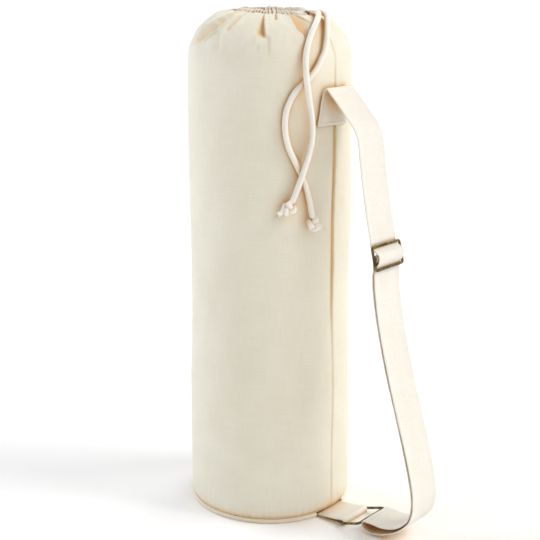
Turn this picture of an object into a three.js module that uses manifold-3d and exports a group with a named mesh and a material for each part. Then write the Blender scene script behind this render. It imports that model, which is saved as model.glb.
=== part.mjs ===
// A drawstring yoga mat bag that stands upright on its round base: a canvas tube whose top is
// gathered on a cord, with a webbing shoulder strap on one side. Millimetres, +Z up.
// The origin is the centre of the base on the floor. +X points to the side with the strap, the
// vertical seam and the cord exit. Azimuths are degrees about +Z, counted from +X.
import * as THREE from 'three';
import { mergeVertices } from 'three/addons/utils/BufferGeometryUtils.js';
import Module from 'manifold-3d';

const wasm = await Module();
wasm.setup();

// Driving dimensions
const bagHeight = 620;
const bodyRadius = 99;
const canvas = 2;
const shoulderRise = 60;
const mouthRadius = 46;
const foldDepth = 9;
const ruffleDepth = 3;
const seamRise = 1.2;
const pipingHeight = 6;
const pipingThickness = 4.2;
const panelThickness = 2.4;
const cordDiameter = 7;
const cordPlay = 0.7;
const knotRadius = 7.6;
const knotStretch = 1.15;
const knotGroove = 0.08;
const knotTail = 9;
const tailThinning = 0.75;
const slitLength = 17;
const webbingWidth = 50;
const webbingThickness = 2;
const wireDiameter = 3.2;
const cornerRadius = 3.2;
const sliderHeight = 30;
const ringLength = 31.5;
const sidePlay = 0.8;
const clearance = 0.3;
const anchorHeight = 533;
const anchorLength = 37;
const anchorSkew = 7;
const strapReach = 135.5;
const ringSeat = 5.35;
const ringLift = 8.4;

// Sampling
const coarseColumns = 42;
const fineColumns = 84;
const ruffles = 21;
const domeRows = 11;
const cordSides = 8;
const cordStep = 2;
const hiddenCordSides = 6;
const hiddenCordStep = 1.2;
const knotSides = 14;
const knotRows = 10;
const wireSides = 8;

const shoulderHeight = bagHeight - shoulderRise;
const cordRadius = cordDiameter / 2;
const wireRadius = wireDiameter / 2;
const halfWebbing = webbingWidth / 2;
const halfThickness = webbingThickness / 2;

// The tube's outline. height: share of the shoulder's height. radius: share of bodyRadius.
const tubeSections = [
  { height: 0.0, radius: 1.022 },
  { height: 0.03, radius: 1.027 },
  { height: 0.12, radius: 1.023 },
  { height: 0.28, radius: 1.016 },
  { height: 0.4, radius: 1.002 },
  { height: 0.48, radius: 0.992 },
  { height: 0.6, radius: 0.996 },
  { height: 0.76, radius: 1.002 },
  { height: 0.9, radius: 0.996 },
  { height: 1.0, radius: 0.988 },
];

// The mouth's edge, where the gathered dome meets the drawstring hem. radius: share of mouthRadius.
// rise: share of shoulderRise. hem: the hem channel's centre line, share of mouthRadius.
// gather: how much of the ruffle shows there.
const mouthEdge = [
  { azimuth: -180, radius: 1.0, rise: 0.955, hem: 0.8, gather: 1 },
  { azimuth: -140, radius: 1.0, rise: 0.955, hem: 0.8, gather: 1 },
  { azimuth: -105, radius: 1.0, rise: 0.93, hem: 0.82, gather: 1 },
  { azimuth: -75, radius: 1.01, rise: 0.9, hem: 0.84, gather: 1 },
  { azimuth: -45, radius: 1.01, rise: 0.89, hem: 0.84, gather: 1 },
  { azimuth: -25, radius: 1.05, rise: 0.87, hem: 0.88, gather: 0.6 },
  { azimuth: 0, radius: 1.12, rise: 0.855, hem: 0.95, gather: 0.1 },
  { azimuth: 26, radius: 1.1, rise: 0.855, hem: 0.93, gather: 0.1 },
  { azimuth: 52, radius: 1.02, rise: 0.945, hem: 0.84, gather: 0.8 },
  { azimuth: 100, radius: 1.0, rise: 0.955, hem: 0.8, gather: 1 },
  { azimuth: 140, radius: 1.0, rise: 0.955, hem: 0.8, gather: 1 },
];

// Folds that run down from the mouth. top, foot: azimuth at the mouth and at the lower end.
// from, to: where the fold starts and ends, as shares of the way up the dome. deepest: share of
// that stretch, from its lower end. depth: share of foldDepth, negative for a bulge.
// left, right: half widths in degrees, a small one for a sharp side.
const folds = [
  { top: -97, foot: -113, from: 0.2, to: 1.0, deepest: 0.45, depth: 1.0, left: 15, right: 4 },
  { top: -87, foot: -88, from: 0.46, to: 0.95, deepest: 0.5, depth: 0.4, left: 7, right: 4 },
  { top: -95, foot: -92, from: 0.05, to: 0.45, deepest: 0.5, depth: 0.25, left: 5, right: 5 },
  { top: -59, foot: -57, from: 0.32, to: 0.95, deepest: 0.25, depth: 1.15, left: 9, right: 4 },
  { top: -63, foot: -62, from: 0.12, to: 0.4, deepest: 0.6, depth: -0.35, left: 10, right: 9 },
  { top: -42, foot: -43, from: 0.6, to: 0.95, deepest: 0.6, depth: 0.45, left: 4, right: 4 },
  { top: -24, foot: -17, from: 0.3, to: 0.97, deepest: 0.4, depth: 0.95, left: 5, right: 9 },
  { top: 45, foot: 38, from: 0.35, to: 0.95, deepest: 0.5, depth: 0.4, left: 6, right: 10 },
  { top: 66, foot: 64, from: 0.25, to: 0.97, deepest: 0.4, depth: 0.9, left: 11, right: 5 },
  { top: 91, foot: 96, from: 0.4, to: 0.95, deepest: 0.5, depth: 0.55, left: 6, right: 9 },
  { top: 116, foot: 119, from: 0.2, to: 0.97, deepest: 0.45, depth: 1.0, left: 13, right: 5 },
  { top: 143, foot: 140, from: 0.42, to: 0.95, deepest: 0.5, depth: 0.5, left: 7, right: 6 },
  { top: 167, foot: 171, from: 0.25, to: 0.97, deepest: 0.4, depth: 0.85, left: 6, right: 12 },
  { top: 195, foot: 193, from: 0.45, to: 0.95, deepest: 0.5, depth: 0.45, left: 7, right: 7 },
  { top: 218, foot: 222, from: 0.25, to: 0.97, deepest: 0.45, depth: 0.7, left: 9, right: 6 },
  { top: 236, foot: 231, from: 0.3, to: 0.9, deepest: 0.5, depth: 0.35, left: 6, right: 6 },
];

// The strap's outer run from the shoulder down to the ring. out: share of strapReach, from the
// anchor outwards. up: share of anchorHeight. gap: distance to the returning inner layer, in
// webbing thicknesses; none above the slider, where the strap is single.
const strapRun = [
  { out: 0.055, up: 0.9895, gap: 0 },
  { out: 0.117, up: 0.974, gap: 0 },
  { out: 0.213, up: 0.947, gap: 0 },
  { out: 0.3, up: 0.922, gap: 0 },
  { out: 0.352, up: 0.893, gap: 0 },
  { out: 0.374, up: 0.8555, gap: 0 },
  { out: 0.428, up: 0.769, gap: 0 },
  { out: 0.48, up: 0.7036, gap: 0 },
  { out: 0.545, up: 0.605, gap: 1.25 },
  { out: 0.562, up: 0.561, gap: 1.25 },
  { out: 0.612, up: 0.4934, gap: 1.25 },
  { out: 0.7, up: 0.4006, gap: 1.25 },
  { out: 0.81, up: 0.3077, gap: 1.25 },
  { out: 0.918, up: 0.2158, gap: 1.25 },
  { out: 0.985, up: 0.1445, gap: 1.25 },
  { out: 1.0, up: 0.105, gap: 1.3 },
  { out: 0.978, up: 0.073, gap: 1.4 },
  { out: 0.925, up: 0.052, gap: 1.6 },
  { out: 0.845, up: 0.033, gap: 2.3 },
  { out: 0.73, up: 0.0168, gap: 4.0 },
  { out: 0.6, up: 0.0072, gap: 6.3 },
  { out: 0.53, up: 0.0082, gap: 6.3 },
  { out: 0.49, up: 0.0135, gap: 5.2 },
];

// The drawcord's two free ends, from the slit in the hem down the bag to their knots, as
// azimuth, radius and height. The first strand lies over the second where they cross.
const overStrand = [
  [16, 54.2, 614.6],
  [13, 59, 615.4],
  [8, 65.5, 614.4],
  [-1.5, 73.5, 610.8],
  [-10.5, 82, 605.5],
  [-17.3, 89.5, 598.4],
  [-23.4, 96.9, 586.6],
  [-26.4, 101.4, 575.9],
  [-27.6, 104, 566.2],
  [-28.2, 107.6, 555.5],
  [-28.4, 110.6, 543.6],
  [-27.4, 110.2, 532.4],
  [-26.3, 109.6, 520],
  [-25, 109.3, 507.5],
  [-24.2, 109.2, 493.8],
  [-24.3, 109.4, 480.2],
  [-25.3, 109.8, 469],
  [-27.2, 110.4, 456.7],
  [-29.5, 111.2, 444.5],
  [-31.6, 111, 433.2],
  [-33.4, 109.6, 422.7],
  [-34.9, 108.7, 414.3],
  [-36.8, 108.6, 406.5],
];
const underStrand = [
  [25, 54.2, 614.6],
  [22.5, 60, 615.4],
  [17.8, 68, 614.4],
  [9.2, 76.5, 609.8],
  [-0.4, 85.5, 602.6],
  [-7.4, 94.6, 590.6],
  [-10.8, 99, 580.6],
  [-13.4, 101.3, 572.4],
  [-15.8, 102, 566.4],
  [-18.2, 102.3, 558.8],
  [-20.9, 102.4, 552.6],
  [-24.5, 102.4, 545.9],
  [-28.7, 102.5, 539.6],
  [-33, 102.6, 533.1],
  [-37, 102.7, 522.8],
  [-39.8, 102.8, 510],
  [-40.8, 103, 495.4],
  [-40, 103.1, 479.5],
  [-37.8, 103.2, 465.8],
  [-34.7, 103.2, 454.1],
  [-31.5, 103.3, 442.3],
  [-28.5, 103.4, 430.4],
  [-25.9, 103.8, 416.7],
  [-24.4, 106.4, 401.1],
  [-23.4, 108.6, 386.5],
];

// Materials
const ecruCanvas = new THREE.MeshStandardMaterial({ color: 0xe9e3d0, roughness: 0.95 });
const hemCanvas = new THREE.MeshStandardMaterial({ color: 0xe4dcc4, roughness: 0.95 });
const webbing = new THREE.MeshStandardMaterial({ color: 0xf1ead6, roughness: 0.9 });
const cottonCord = new THREE.MeshStandardMaterial({ color: 0xefe8d4, roughness: 0.95 });
const antiqueBrass = new THREE.MeshStandardMaterial({
  color: 0x3a3022,
  roughness: 0.45,
  metalness: 1,
});

function radians(degrees) {
  return (degrees * Math.PI) / 180;
}

function smooth(share) {
  const t = Math.min(1, Math.max(0, share));
  return t * t * (3 - 2 * t);
}

// A column of a table, eased between the two rows on either side of a place.
function readTable(rows, key, place, column) {
  let next = rows.findIndex((row) => row[key] > place);
  if (next === -1) next = rows.length - 1;
  if (next === 0) next = 1;
  const low = rows[next - 1];
  const high = rows[next];
  const share = (place - low[key]) / (high[key] - low[key]);
  return low[column] + (high[column] - low[column]) * smooth(share);
}

const mouthLoop = [...mouthEdge, { ...mouthEdge[0], azimuth: mouthEdge[0].azimuth + 360 }];

function mouthAt(azimuth, column) {
  const wrapped = ((((azimuth + 180) % 360) + 360) % 360) - 180;
  return readTable(mouthLoop, 'azimuth', wrapped, column);
}

function tubeRadius(height) {
  return bodyRadius * readTable(tubeSections, 'height', height / shoulderHeight, 'radius');
}

function polar(azimuth, radius, height) {
  const angle = radians(azimuth);
  return new THREE.Vector3(radius * Math.cos(angle), radius * Math.sin(angle), height);
}

// How far apart two azimuths are, from -180 to 180.
function turn(azimuth, from) {
  return ((((azimuth - from + 180) % 360) + 360) % 360) - 180;
}

// Inward depth of all folds at an azimuth and a share of the way up the dome.
function foldAt(azimuth, share) {
  let depth = 0;
  for (const fold of folds) {
    const along = (share - fold.from) / (fold.to - fold.from);
    if (along <= 0 || along >= 1) continue;
    const centre = fold.foot + (fold.top - fold.foot) * along;
    const offset = turn(azimuth, centre);
    const width = (offset < 0 ? fold.left : fold.right) * (1.1 - 0.6 * along);
    const across = 1 - Math.min(1, Math.abs(offset) / width);
    const lengthwise = along < fold.deepest ? along / fold.deepest : (1 - along) / (1 - fold.deepest);
    depth += fold.depth * foldDepth * smooth(across) * smooth(lengthwise);
  }
  return depth;
}

function ruffleAt(azimuth) {
  const wave = 0.5 + 0.5 * Math.cos(radians(azimuth * ruffles));
  return ruffleDepth * mouthAt(azimuth, 'gather') * wave;
}

function seamAt(azimuth) {
  const seamHalfWidth = 360 / coarseColumns;
  return seamRise * Math.max(0, 1 - Math.abs(turn(azimuth, 0)) / seamHalfWidth);
}

// The dome is a quarter ellipse from the shoulder to the mouth's edge, which it reaches a little
// before the ellipse is level.
const domeEnd = radians(82);

function domePoint(azimuth, share, inset) {
  const t = share * domeEnd;
  const edge = mouthRadius * mouthAt(azimuth, 'radius');
  const foot = tubeRadius(shoulderHeight);
  const inner = (edge - foot * Math.cos(domeEnd)) / (1 - Math.cos(domeEnd));
  const rise = (shoulderRise * mouthAt(azimuth, 'rise')) / Math.sin(domeEnd);
  const radius = inner + (foot - inner) * Math.cos(t);
  const height = shoulderHeight + rise * Math.sin(t);
  const normal = new THREE.Vector2(rise * Math.cos(t), (foot - inner) * Math.sin(t)).normalize();
  const relief = ruffleAt(azimuth) * share ** 4 + seamAt(azimuth) * (1 - share);
  const out = relief - foldAt(azimuth, share) - inset;
  return polar(azimuth, radius + normal.x * out, height + normal.y * out);
}

function tubeRing(height, inset) {
  const ring = [];
  for (let column = 0; column < coarseColumns; column += 1) {
    const azimuth = (column * 360) / coarseColumns;
    ring.push(polar(azimuth, tubeRadius(height) + seamAt(azimuth) - inset, height));
  }
  return ring;
}

function domeRing(share, inset) {
  const ring = [];
  for (let column = 0; column < fineColumns; column += 1) {
    ring.push(domePoint((column * 360) / fineColumns, share, inset));
  }
  return ring;
}

// A closed skin from rings of points that follow each other and join up at the end. A ring may
// have twice as many points as its neighbour.
function skinOfRings(rings) {
  const positions = [];
  const starts = [];
  for (const ring of rings) {
    starts.push(positions.length / 3);
    for (const point of ring) positions.push(point.x, point.y, point.z);
  }
  const index = [];
  rings.forEach((ring, place) => {
    const after = (place + 1) % rings.length;
    const next = rings[after];
    const low = (step) => starts[place] + (step % ring.length);
    const high = (step) => starts[after] + (step % next.length);
    const steps = Math.min(ring.length, next.length);
    for (let i = 0; i < steps; i += 1) {
      if (ring.length === next.length) {
        index.push(low(i), low(i + 1), high(i + 1), low(i), high(i + 1), high(i));
      } else if (ring.length < next.length) {
        index.push(low(i), high(2 * i + 1), high(2 * i));
        index.push(low(i), low(i + 1), high(2 * i + 1));
        index.push(low(i + 1), high(2 * i + 2), high(2 * i + 1));
      } else {
        index.push(low(2 * i), low(2 * i + 1), high(i));
        index.push(low(2 * i + 1), high(i + 1), high(i));
        index.push(low(2 * i + 1), low(2 * i + 2), high(i + 1));
      }
    }
  });
  return indexedGeometry(positions, index);
}

function indexedGeometry(positions, index) {
  const geometry = new THREE.BufferGeometry();
  geometry.setAttribute('position', new THREE.Float32BufferAttribute(positions, 3));
  geometry.setIndex(index);
  return geometry;
}

function toSolid(geometry) {
  const bare = geometry.clone();
  bare.deleteAttribute('normal');
  bare.deleteAttribute('uv');
  const merged = mergeVertices(bare, 1e-4);
  const mesh = new wasm.Mesh({
    numProp: 3,
    vertProperties: new Float32Array(merged.attributes.position.array),
    triVerts: new Uint32Array(merged.index.array),
  });
  return new wasm.Manifold(mesh);
}

function fromSolid(solid) {
  const mesh = solid.getMesh();
  return indexedGeometry(Array.from(mesh.vertProperties), Array.from(mesh.triVerts));
}

const bag = new THREE.Group();

function addPiece(name, geometry, material) {
  geometry.computeVertexNormals();
  const mesh = new THREE.Mesh(geometry, material);
  mesh.name = name;
  bag.add(mesh);
  return mesh;
}

// Body: the canvas tube and its gathered dome, one cloth wall with an open mouth
function makeBody() {
  const bottom = pipingHeight + clearance;
  const heights = tubeSections.map((row) => bottom + row.height * (shoulderHeight - bottom));
  const tubeHeights = heights.slice(0, -1);
  const domeShares = Array.from({ length: domeRows + 1 }, (_, row) => row / domeRows);
  const outside = [
    ...tubeHeights.map((height) => tubeRing(height, 0)),
    ...domeShares.map((share) => domeRing(share, 0)),
  ];
  const inside = [
    ...tubeHeights.map((height) => tubeRing(height, canvas)),
    ...domeShares.map((share) => domeRing(share, canvas)),
  ];
  addPiece('bag_body', skinOfRings([...outside, ...inside.reverse()]), ecruCanvas);
}

// Hem: the cloth turned over the drawcord, ruffled where the cord gathers it, with the slit
// that both cord ends come out of
const slitAzimuth = 20.5;
const channelHeight = bagHeight - cordRadius - cordPlay - canvas - ruffleDepth;

function channelRadius(azimuth) {
  return mouthRadius * mouthAt(azimuth, 'hem');
}

function hemRings() {
  const arc = [35, 85, 135, 190];
  const rings = Array.from({ length: 2 * arc.length + 2 }, () => []);
  for (let column = 0; column < fineColumns; column += 1) {
    const azimuth = (column * 360) / fineColumns;
    const skin = cordRadius + cordPlay + canvas + ruffleAt(azimuth);
    const lower = domePoint(azimuth, 1, 0);
    const lowerRadius = Math.hypot(lower.x, lower.y);
    rings[0].push(polar(azimuth, lowerRadius, lower.z + clearance));
    arc.forEach((angle, place) => {
      const cos = Math.cos(radians(angle));
      const sin = Math.sin(radians(angle));
      const radius = channelRadius(azimuth);
      const inner = skin - canvas;
      const outerPoint = polar(azimuth, radius + skin * cos, channelHeight + skin * sin);
      const innerPoint = polar(azimuth, radius + inner * cos, channelHeight + inner * sin);
      rings[1 + place].push(outerPoint);
      rings[rings.length - 2 - place].push(innerPoint);
    });
    rings[rings.length - 1].push(polar(azimuth, lowerRadius - canvas, lower.z + clearance));
  }
  return rings;
}

function makeHem() {
  const hem = toSolid(skinOfRings(hemRings()));
  const slitHeight = cordDiameter + 2 * cordPlay;
  const cutter = new THREE.BoxGeometry(4 * canvas + cordDiameter, slitLength, slitHeight);
  const middle = polar(slitAzimuth, channelRadius(slitAzimuth) + cordDiameter + canvas, channelHeight);
  cutter.rotateZ(radians(slitAzimuth));
  cutter.translate(middle.x, middle.y, middle.z + 2 * cordPlay);
  addPiece('drawstring_hem', fromSolid(hem.subtract(toSolid(cutter))), hemCanvas);
}

// Base: a flat round panel inside a rolled, stitched rim that stops at the webbing tab
function makeBase() {
  const rimInside = tubeRadius(0) + clearance - pipingThickness;
  const panelRadius = rimInside - clearance;
  const outline = [
    new THREE.Vector2(0, 0),
    new THREE.Vector2(panelRadius, 0),
    new THREE.Vector2(panelRadius, panelThickness),
    new THREE.Vector2(0, panelThickness),
  ];
  const panel = new THREE.LatheGeometry(outline, coarseColumns);
  panel.rotateX(Math.PI / 2);
  addPiece('base_panel', cleaned(panel), ecruCanvas);

  const middle = rimInside + pipingThickness / 2;
  const tabAngle = Math.asin((halfWebbing + clearance) / rimInside);
  const sections = [];
  const steps = coarseColumns;
  for (let step = 0; step <= steps; step += 1) {
    const azimuth = THREE.MathUtils.radToDeg(tabAngle + ((2 * Math.PI - 2 * tabAngle) * step) / steps);
    const section = [];
    for (let side = 0; side < wireSides; side += 1) {
      const angle = ((side + 0.5) * 2 * Math.PI) / wireSides;
      const reach = 1 / Math.cos(Math.PI / wireSides);
      const out = (Math.cos(angle) * reach * pipingThickness) / 2;
      const up = (Math.sin(angle) * reach * pipingHeight) / 2;
      section.push(polar(azimuth, middle + out, pipingHeight / 2 + up));
    }
    sections.push(section);
  }
  addPiece('base_piping', cappedSweep(sections), hemCanvas);
}

function cleaned(geometry) {
  return fromSolid(toSolid(geometry));
}

// A solid swept through equal sections, each a loop of points seen anticlockwise from its end.
function cappedSweep(sections) {
  const sides = sections[0].length;
  const positions = [];
  for (const section of sections) {
    for (const point of section) positions.push(point.x, point.y, point.z);
  }
  const index = [];
  for (let row = 0; row < sections.length - 1; row += 1) {
    for (let side = 0; side < sides; side += 1) {
      const a = row * sides + side;
      const b = row * sides + ((side + 1) % sides);
      index.push(a, b + sides, b, a, a + sides, b + sides);
    }
  }
  const last = (sections.length - 1) * sides;
  for (let side = 1; side < sides - 1; side += 1) {
    index.push(0, side, side + 1);
    index.push(last, last + side + 1, last + side);
  }
  const geometry = indexedGeometry(positions, index);
  const solid = toSolid(geometry);
  if (solid.volume() > 0) return geometry;
  return indexedGeometry(positions, index.reverse());
}

// A flat strip of webbing along a path in the XZ plane. Each path point has x, z and, where the
// strip lies on the round bag, bend (1 to follow it) and shift (a move along Y).
function webbingStrip(path) {
  const across = [-1, 0, 1];
  const sections = path.map((point, place) => {
    const before = path[Math.max(0, place - 1)];
    const after = path[Math.min(path.length - 1, place + 1)];
    const along = new THREE.Vector2(after.x - before.x, after.z - before.z).normalize();
    const normal = new THREE.Vector2(along.y, -along.x);
    const bend = point.bend ?? 0;
    const shift = point.shift ?? 0;
    const row = (side) =>
      across.map((share) => {
        const y = share * halfWebbing + shift;
        const sag = point.x - Math.sqrt(point.x ** 2 - y ** 2);
        const x = point.x + normal.x * side * halfThickness - bend * sag;
        return new THREE.Vector3(x, y, point.z + normal.y * side * halfThickness);
      });
    return [...row(1), ...row(-1).reverse()];
  });
  return cappedSweep(sections);
}

// Strap: sewn flat to the bag, folded over, through the slider, down to the ring and back up to
// the slider's middle bar
const chordSag = halfWebbing ** 2 / (8 * bodyRadius);
const anchorX = tubeRadius(anchorHeight) + seamRise + chordSag + clearance + halfThickness;
const layerStep = webbingThickness + clearance;
const sliderPlace = { out: 0.551, up: 0.6486, tilt: -13.9 };

function runPoint(row) {
  return new THREE.Vector2(anchorX + row.out * strapReach, row.up * anchorHeight);
}

function pathThrough(points, stepsPerSpan) {
  const curve = new THREE.SplineCurve(points);
  return curve.getPoints((points.length - 1) * stepsPerSpan);
}

// The bar positions and the webbing's way through the slider, in its own frame: e up along the
// strap, n outwards from the bag.
const sliderCentre = runPoint(sliderPlace);
const barOffset = sliderHeight / 2 - wireRadius;
const behindBar = wireRadius + 2 * clearance + halfThickness;
const overLoop = behindBar + layerStep;

function inSlider(e, n) {
  const tilt = radians(sliderPlace.tilt);
  const alongX = Math.sin(tilt) * e + Math.cos(tilt) * n;
  const alongZ = Math.cos(tilt) * e - Math.sin(tilt) * n;
  return new THREE.Vector2(sliderCentre.x + alongX, sliderCentre.y + alongZ);
}

function strapPath() {
  const single = strapRun.filter((row) => row.gap === 0).map(runPoint);
  const doubled = strapRun.filter((row) => row.gap > 0);
  const outerRows = doubled.map(runPoint);

  const anchorTop = anchorHeight - 3 * webbingThickness;
  const sewn = [];
  const anchorSteps = 4;
  for (let step = 0; step <= anchorSteps; step += 1) {
    const share = step / anchorSteps;
    const z = anchorTop - anchorLength * (1 - share);
    const x = tubeRadius(z) + anchorX - tubeRadius(anchorHeight);
    sewn.push({ x, z, bend: 1, shift: -anchorSkew * (1 - share) });
  }
  const fold = [
    { x: anchorX + 0.2 * webbingThickness, z: anchorHeight - 1.4 * webbingThickness, bend: 0.9 },
    { x: anchorX + 0.9 * webbingThickness, z: anchorHeight - 0.3 * webbingThickness, bend: 0.7 },
    { x: anchorX + 2.1 * webbingThickness, z: anchorHeight - 0.4 * webbingThickness, bend: 0.5 },
  ];

  const weaveDown = [
    inSlider(barOffset + 3 * webbingThickness, -0.8 * behindBar),
    inSlider(barOffset, -behindBar),
    inSlider(barOffset * 0.58, 0.2 * overLoop),
    inSlider(barOffset * 0.25, 0.93 * overLoop),
    inSlider(-barOffset * 0.1, overLoop),
    inSlider(-barOffset * 0.42, 0.6 * overLoop),
    inSlider(-barOffset * 0.75, -0.35 * behindBar),
    inSlider(-barOffset, -behindBar),
  ];
  const outer = pathThrough([...single, ...weaveDown, ...outerRows], 2);

  const inner = doubled.map((row, place) => {
    const here = outerRows[place];
    const before = place > 0 ? outerRows[place - 1] : weaveDown[weaveDown.length - 1];
    const after = outerRows[Math.min(place + 1, outerRows.length - 1)];
    const along = after.clone().sub(before).normalize();
    const distance = row.gap * webbingThickness;
    return new THREE.Vector2(here.x + along.y * distance, here.y - along.x * distance);
  });

  const loopStart = outerRows[outerRows.length - 1];
  const loopEnd = inner[inner.length - 1];
  const loopMiddle = loopStart.clone().add(loopEnd).multiplyScalar(0.5);
  const spoke = loopStart.clone().sub(loopMiddle);
  const loop = [];
  const loopSteps = 8;
  for (let step = 1; step < loopSteps; step += 1) {
    const turned = spoke.clone().rotateAround(new THREE.Vector2(0, 0), (-Math.PI * step) / loopSteps);
    loop.push(loopMiddle.clone().add(turned));
  }

  const wrap = [];
  const wrapSteps = 6;
  for (let step = 0; step <= wrapSteps; step += 1) {
    const angle = Math.PI * (1 - step / wrapSteps);
    wrap.push(inSlider(behindBar * Math.sin(angle), behindBar * Math.cos(angle)));
  }
  const upToSlider = [
    inSlider(-barOffset, -behindBar - layerStep),
    inSlider(-barOffset * 0.55, -behindBar - 0.75 * layerStep),
  ];
  const back = pathThrough([...inner.reverse(), ...upToSlider], 2);
  const tail = [inSlider(-0.3 * barOffset, 0.5 * halfThickness)];
  const plain = [...outer, ...loop, ...back, ...wrap, ...tail];
  return [...sewn, ...fold, ...plain.map((point) => ({ x: point.x, z: point.y }))];
}

// A closed wire loop: a rounded rectangle of round wire, long side along Y
function wireLoop(length, width) {
  const halfLength = length / 2 - wireRadius;
  const halfWidth = width / 2 - wireRadius;
  const corners = [
    [halfLength, halfWidth, 0],
    [-halfLength, halfWidth, 90],
    [-halfLength, -halfWidth, 180],
    [halfLength, -halfWidth, 270],
  ];
  const cornerSteps = 3;
  const rings = [];
  for (const [x, y, start] of corners) {
    for (let step = 0; step <= cornerSteps; step += 1) {
      const angle = radians(start + (90 * step) / cornerSteps);
      const out = new THREE.Vector2(Math.cos(angle), Math.sin(angle));
      const middle = new THREE.Vector2(
        x - Math.sign(x) * cornerRadius + out.x * cornerRadius,
        y - Math.sign(y) * cornerRadius + out.y * cornerRadius,
      );
      const ring = [];
      for (let side = 0; side < wireSides; side += 1) {
        const turned = ((side + 0.5) * 2 * Math.PI) / wireSides;
        const reach = wireRadius * Math.cos(turned);
        ring.push(
          new THREE.Vector3(
            middle.x + out.x * reach,
            middle.y + out.y * reach,
            wireRadius * Math.sin(turned),
          ),
        );
      }
      rings.push(ring);
    }
  }
  return skinOfRings(rings.map((ring) => ring.reverse()));
}

const hardwareWidth = webbingWidth + 2 * sidePlay + 2 * wireDiameter;

function makeStrap() {
  addPiece('shoulder_strap', webbingStrip(strapPath()), webbing);

  const barLength = hardwareWidth - wireDiameter;
  const bar = new THREE.CylinderGeometry(wireRadius, wireRadius, barLength, wireSides);
  const frame = toSolid(wireLoop(sliderHeight, hardwareWidth)).add(toSolid(bar));
  const slider = addPiece('strap_slider', fromSolid(frame), antiqueBrass);
  slider.rotation.y = Math.PI / 2 + radians(sliderPlace.tilt);
  slider.position.set(sliderCentre.x, 0, sliderCentre.y);
}

// Ring and tab at the foot: the ring's far bar lies in the strap's loop, its near one in the tab's
// fold. ringSeat: how far the far bar is from the rows where the loop starts.
const ringPitch = Math.asin(ringLift / (ringLength - wireDiameter));
const loopRow = strapRun[strapRun.length - 1];
const farBarX = runPoint(loopRow).x - ringSeat;
const tabBarX = farBarX - (ringLength - wireDiameter) * Math.cos(ringPitch);
const tabBar = new THREE.Vector2(tabBarX, wireRadius + webbingThickness + 3 * clearance);

function makeRingAndTab() {
  const ring = addPiece('strap_ring', wireLoop(ringLength, hardwareWidth), antiqueBrass);
  const half = ringLength / 2 - wireRadius;
  ring.rotation.y = -ringPitch;
  const middleX = tabBar.x + half * Math.cos(ringPitch);
  ring.position.set(middleX, 0, tabBar.y + half * Math.sin(ringPitch));

  const start = tubeRadius(0) + clearance - pipingThickness;
  const floorLayer = clearance + halfThickness;
  const topLayer = floorLayer + layerStep;
  const path = [
    { x: start, z: floorLayer },
    { x: (start + tabBar.x) / 2, z: floorLayer },
    { x: tabBar.x, z: floorLayer },
  ];
  const wrapRadius = tabBar.y - floorLayer;
  const wrapSteps = 6;
  for (let step = 1; step <= wrapSteps; step += 1) {
    const angle = (Math.PI * step) / wrapSteps - Math.PI / 2;
    path.push({
      x: tabBar.x + wrapRadius * Math.cos(angle),
      z: tabBar.y + wrapRadius * Math.sin(angle),
    });
  }
  const wrapTop = tabBar.y + wrapRadius;
  const tabShares = [0.8, 0.55, 0.3, 0.12, 0];
  for (const share of tabShares) {
    path.push({
      x: start + (tabBar.x - start) * share,
      z: topLayer + (wrapTop - topLayer) * share ** 1.6,
    });
  }
  addPiece('base_tab', webbingStrip(path), webbing);
}

// Drawcord: hidden in the hem, with two free ends that come out at the slit
function cordTube(points, sides, diametersPerStep) {
  const curve = new THREE.CatmullRomCurve3(points, false, 'centripetal');
  const section = new THREE.Shape();
  for (let side = 0; side < sides; side += 1) {
    const angle = ((side + 0.5) * 2 * Math.PI) / sides;
    const x = cordRadius * Math.cos(angle);
    const y = cordRadius * Math.sin(angle);
    if (side === 0) section.moveTo(x, y);
    else section.lineTo(x, y);
  }
  section.closePath();
  const steps = Math.round(curve.getLength() / (diametersPerStep * cordDiameter));
  const options = { steps, extrudePath: curve, bevelEnabled: false };
  return cleaned(new THREE.ExtrudeGeometry(section, options));
}

// An overhand knot as a lumpy knob under the end of its strand, with the cut tail out of its side.
// seat: how far the strand's end is from the knot's middle, as a share of the knot's radius.
function makeKnot(name, strand, tail) {
  const lastRow = strand[strand.length - 1];
  const end = polar(...lastRow);
  const inwards = end.clone().sub(polar(...strand[strand.length - 2])).normalize();
  const place = end.clone().addScaledVector(inwards, knotRadius * tail.seat + clearance);
  const around = polar(lastRow[0] + 90, 1, 0);
  const along = around.multiplyScalar(tail.sideways).add(new THREE.Vector3(0, 0, -tail.down));
  const lobes = 3;
  const knob = new THREE.SphereGeometry(knotRadius, knotSides, knotRows);
  const position = knob.attributes.position;
  for (let i = 0; i < position.count; i += 1) {
    const point = new THREE.Vector3().fromBufferAttribute(position, i);
    const share = point.y / knotRadius;
    const twist = Math.atan2(point.z, point.x) * 2 + share * lobes;
    const wave = 1 + knotGroove * (Math.cos(twist) - 1) * (1 - share ** 2);
    position.setXYZ(i, point.x * wave, point.y * knotStretch, point.z * wave);
  }
  const tailEnd = cordRadius * tailThinning;
  const stub = new THREE.CylinderGeometry(tailEnd, cordRadius * 0.9, knotTail, cordSides);
  stub.translate(0, knotRadius + knotTail / 2 - cordRadius, 0);
  const solid = toSolid(knob).add(toSolid(stub));
  const mesh = addPiece(name, fromSolid(solid), cottonCord);
  mesh.quaternion.setFromUnitVectors(new THREE.Vector3(0, 1, 0), along.normalize());
  mesh.position.copy(place);
}

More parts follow.
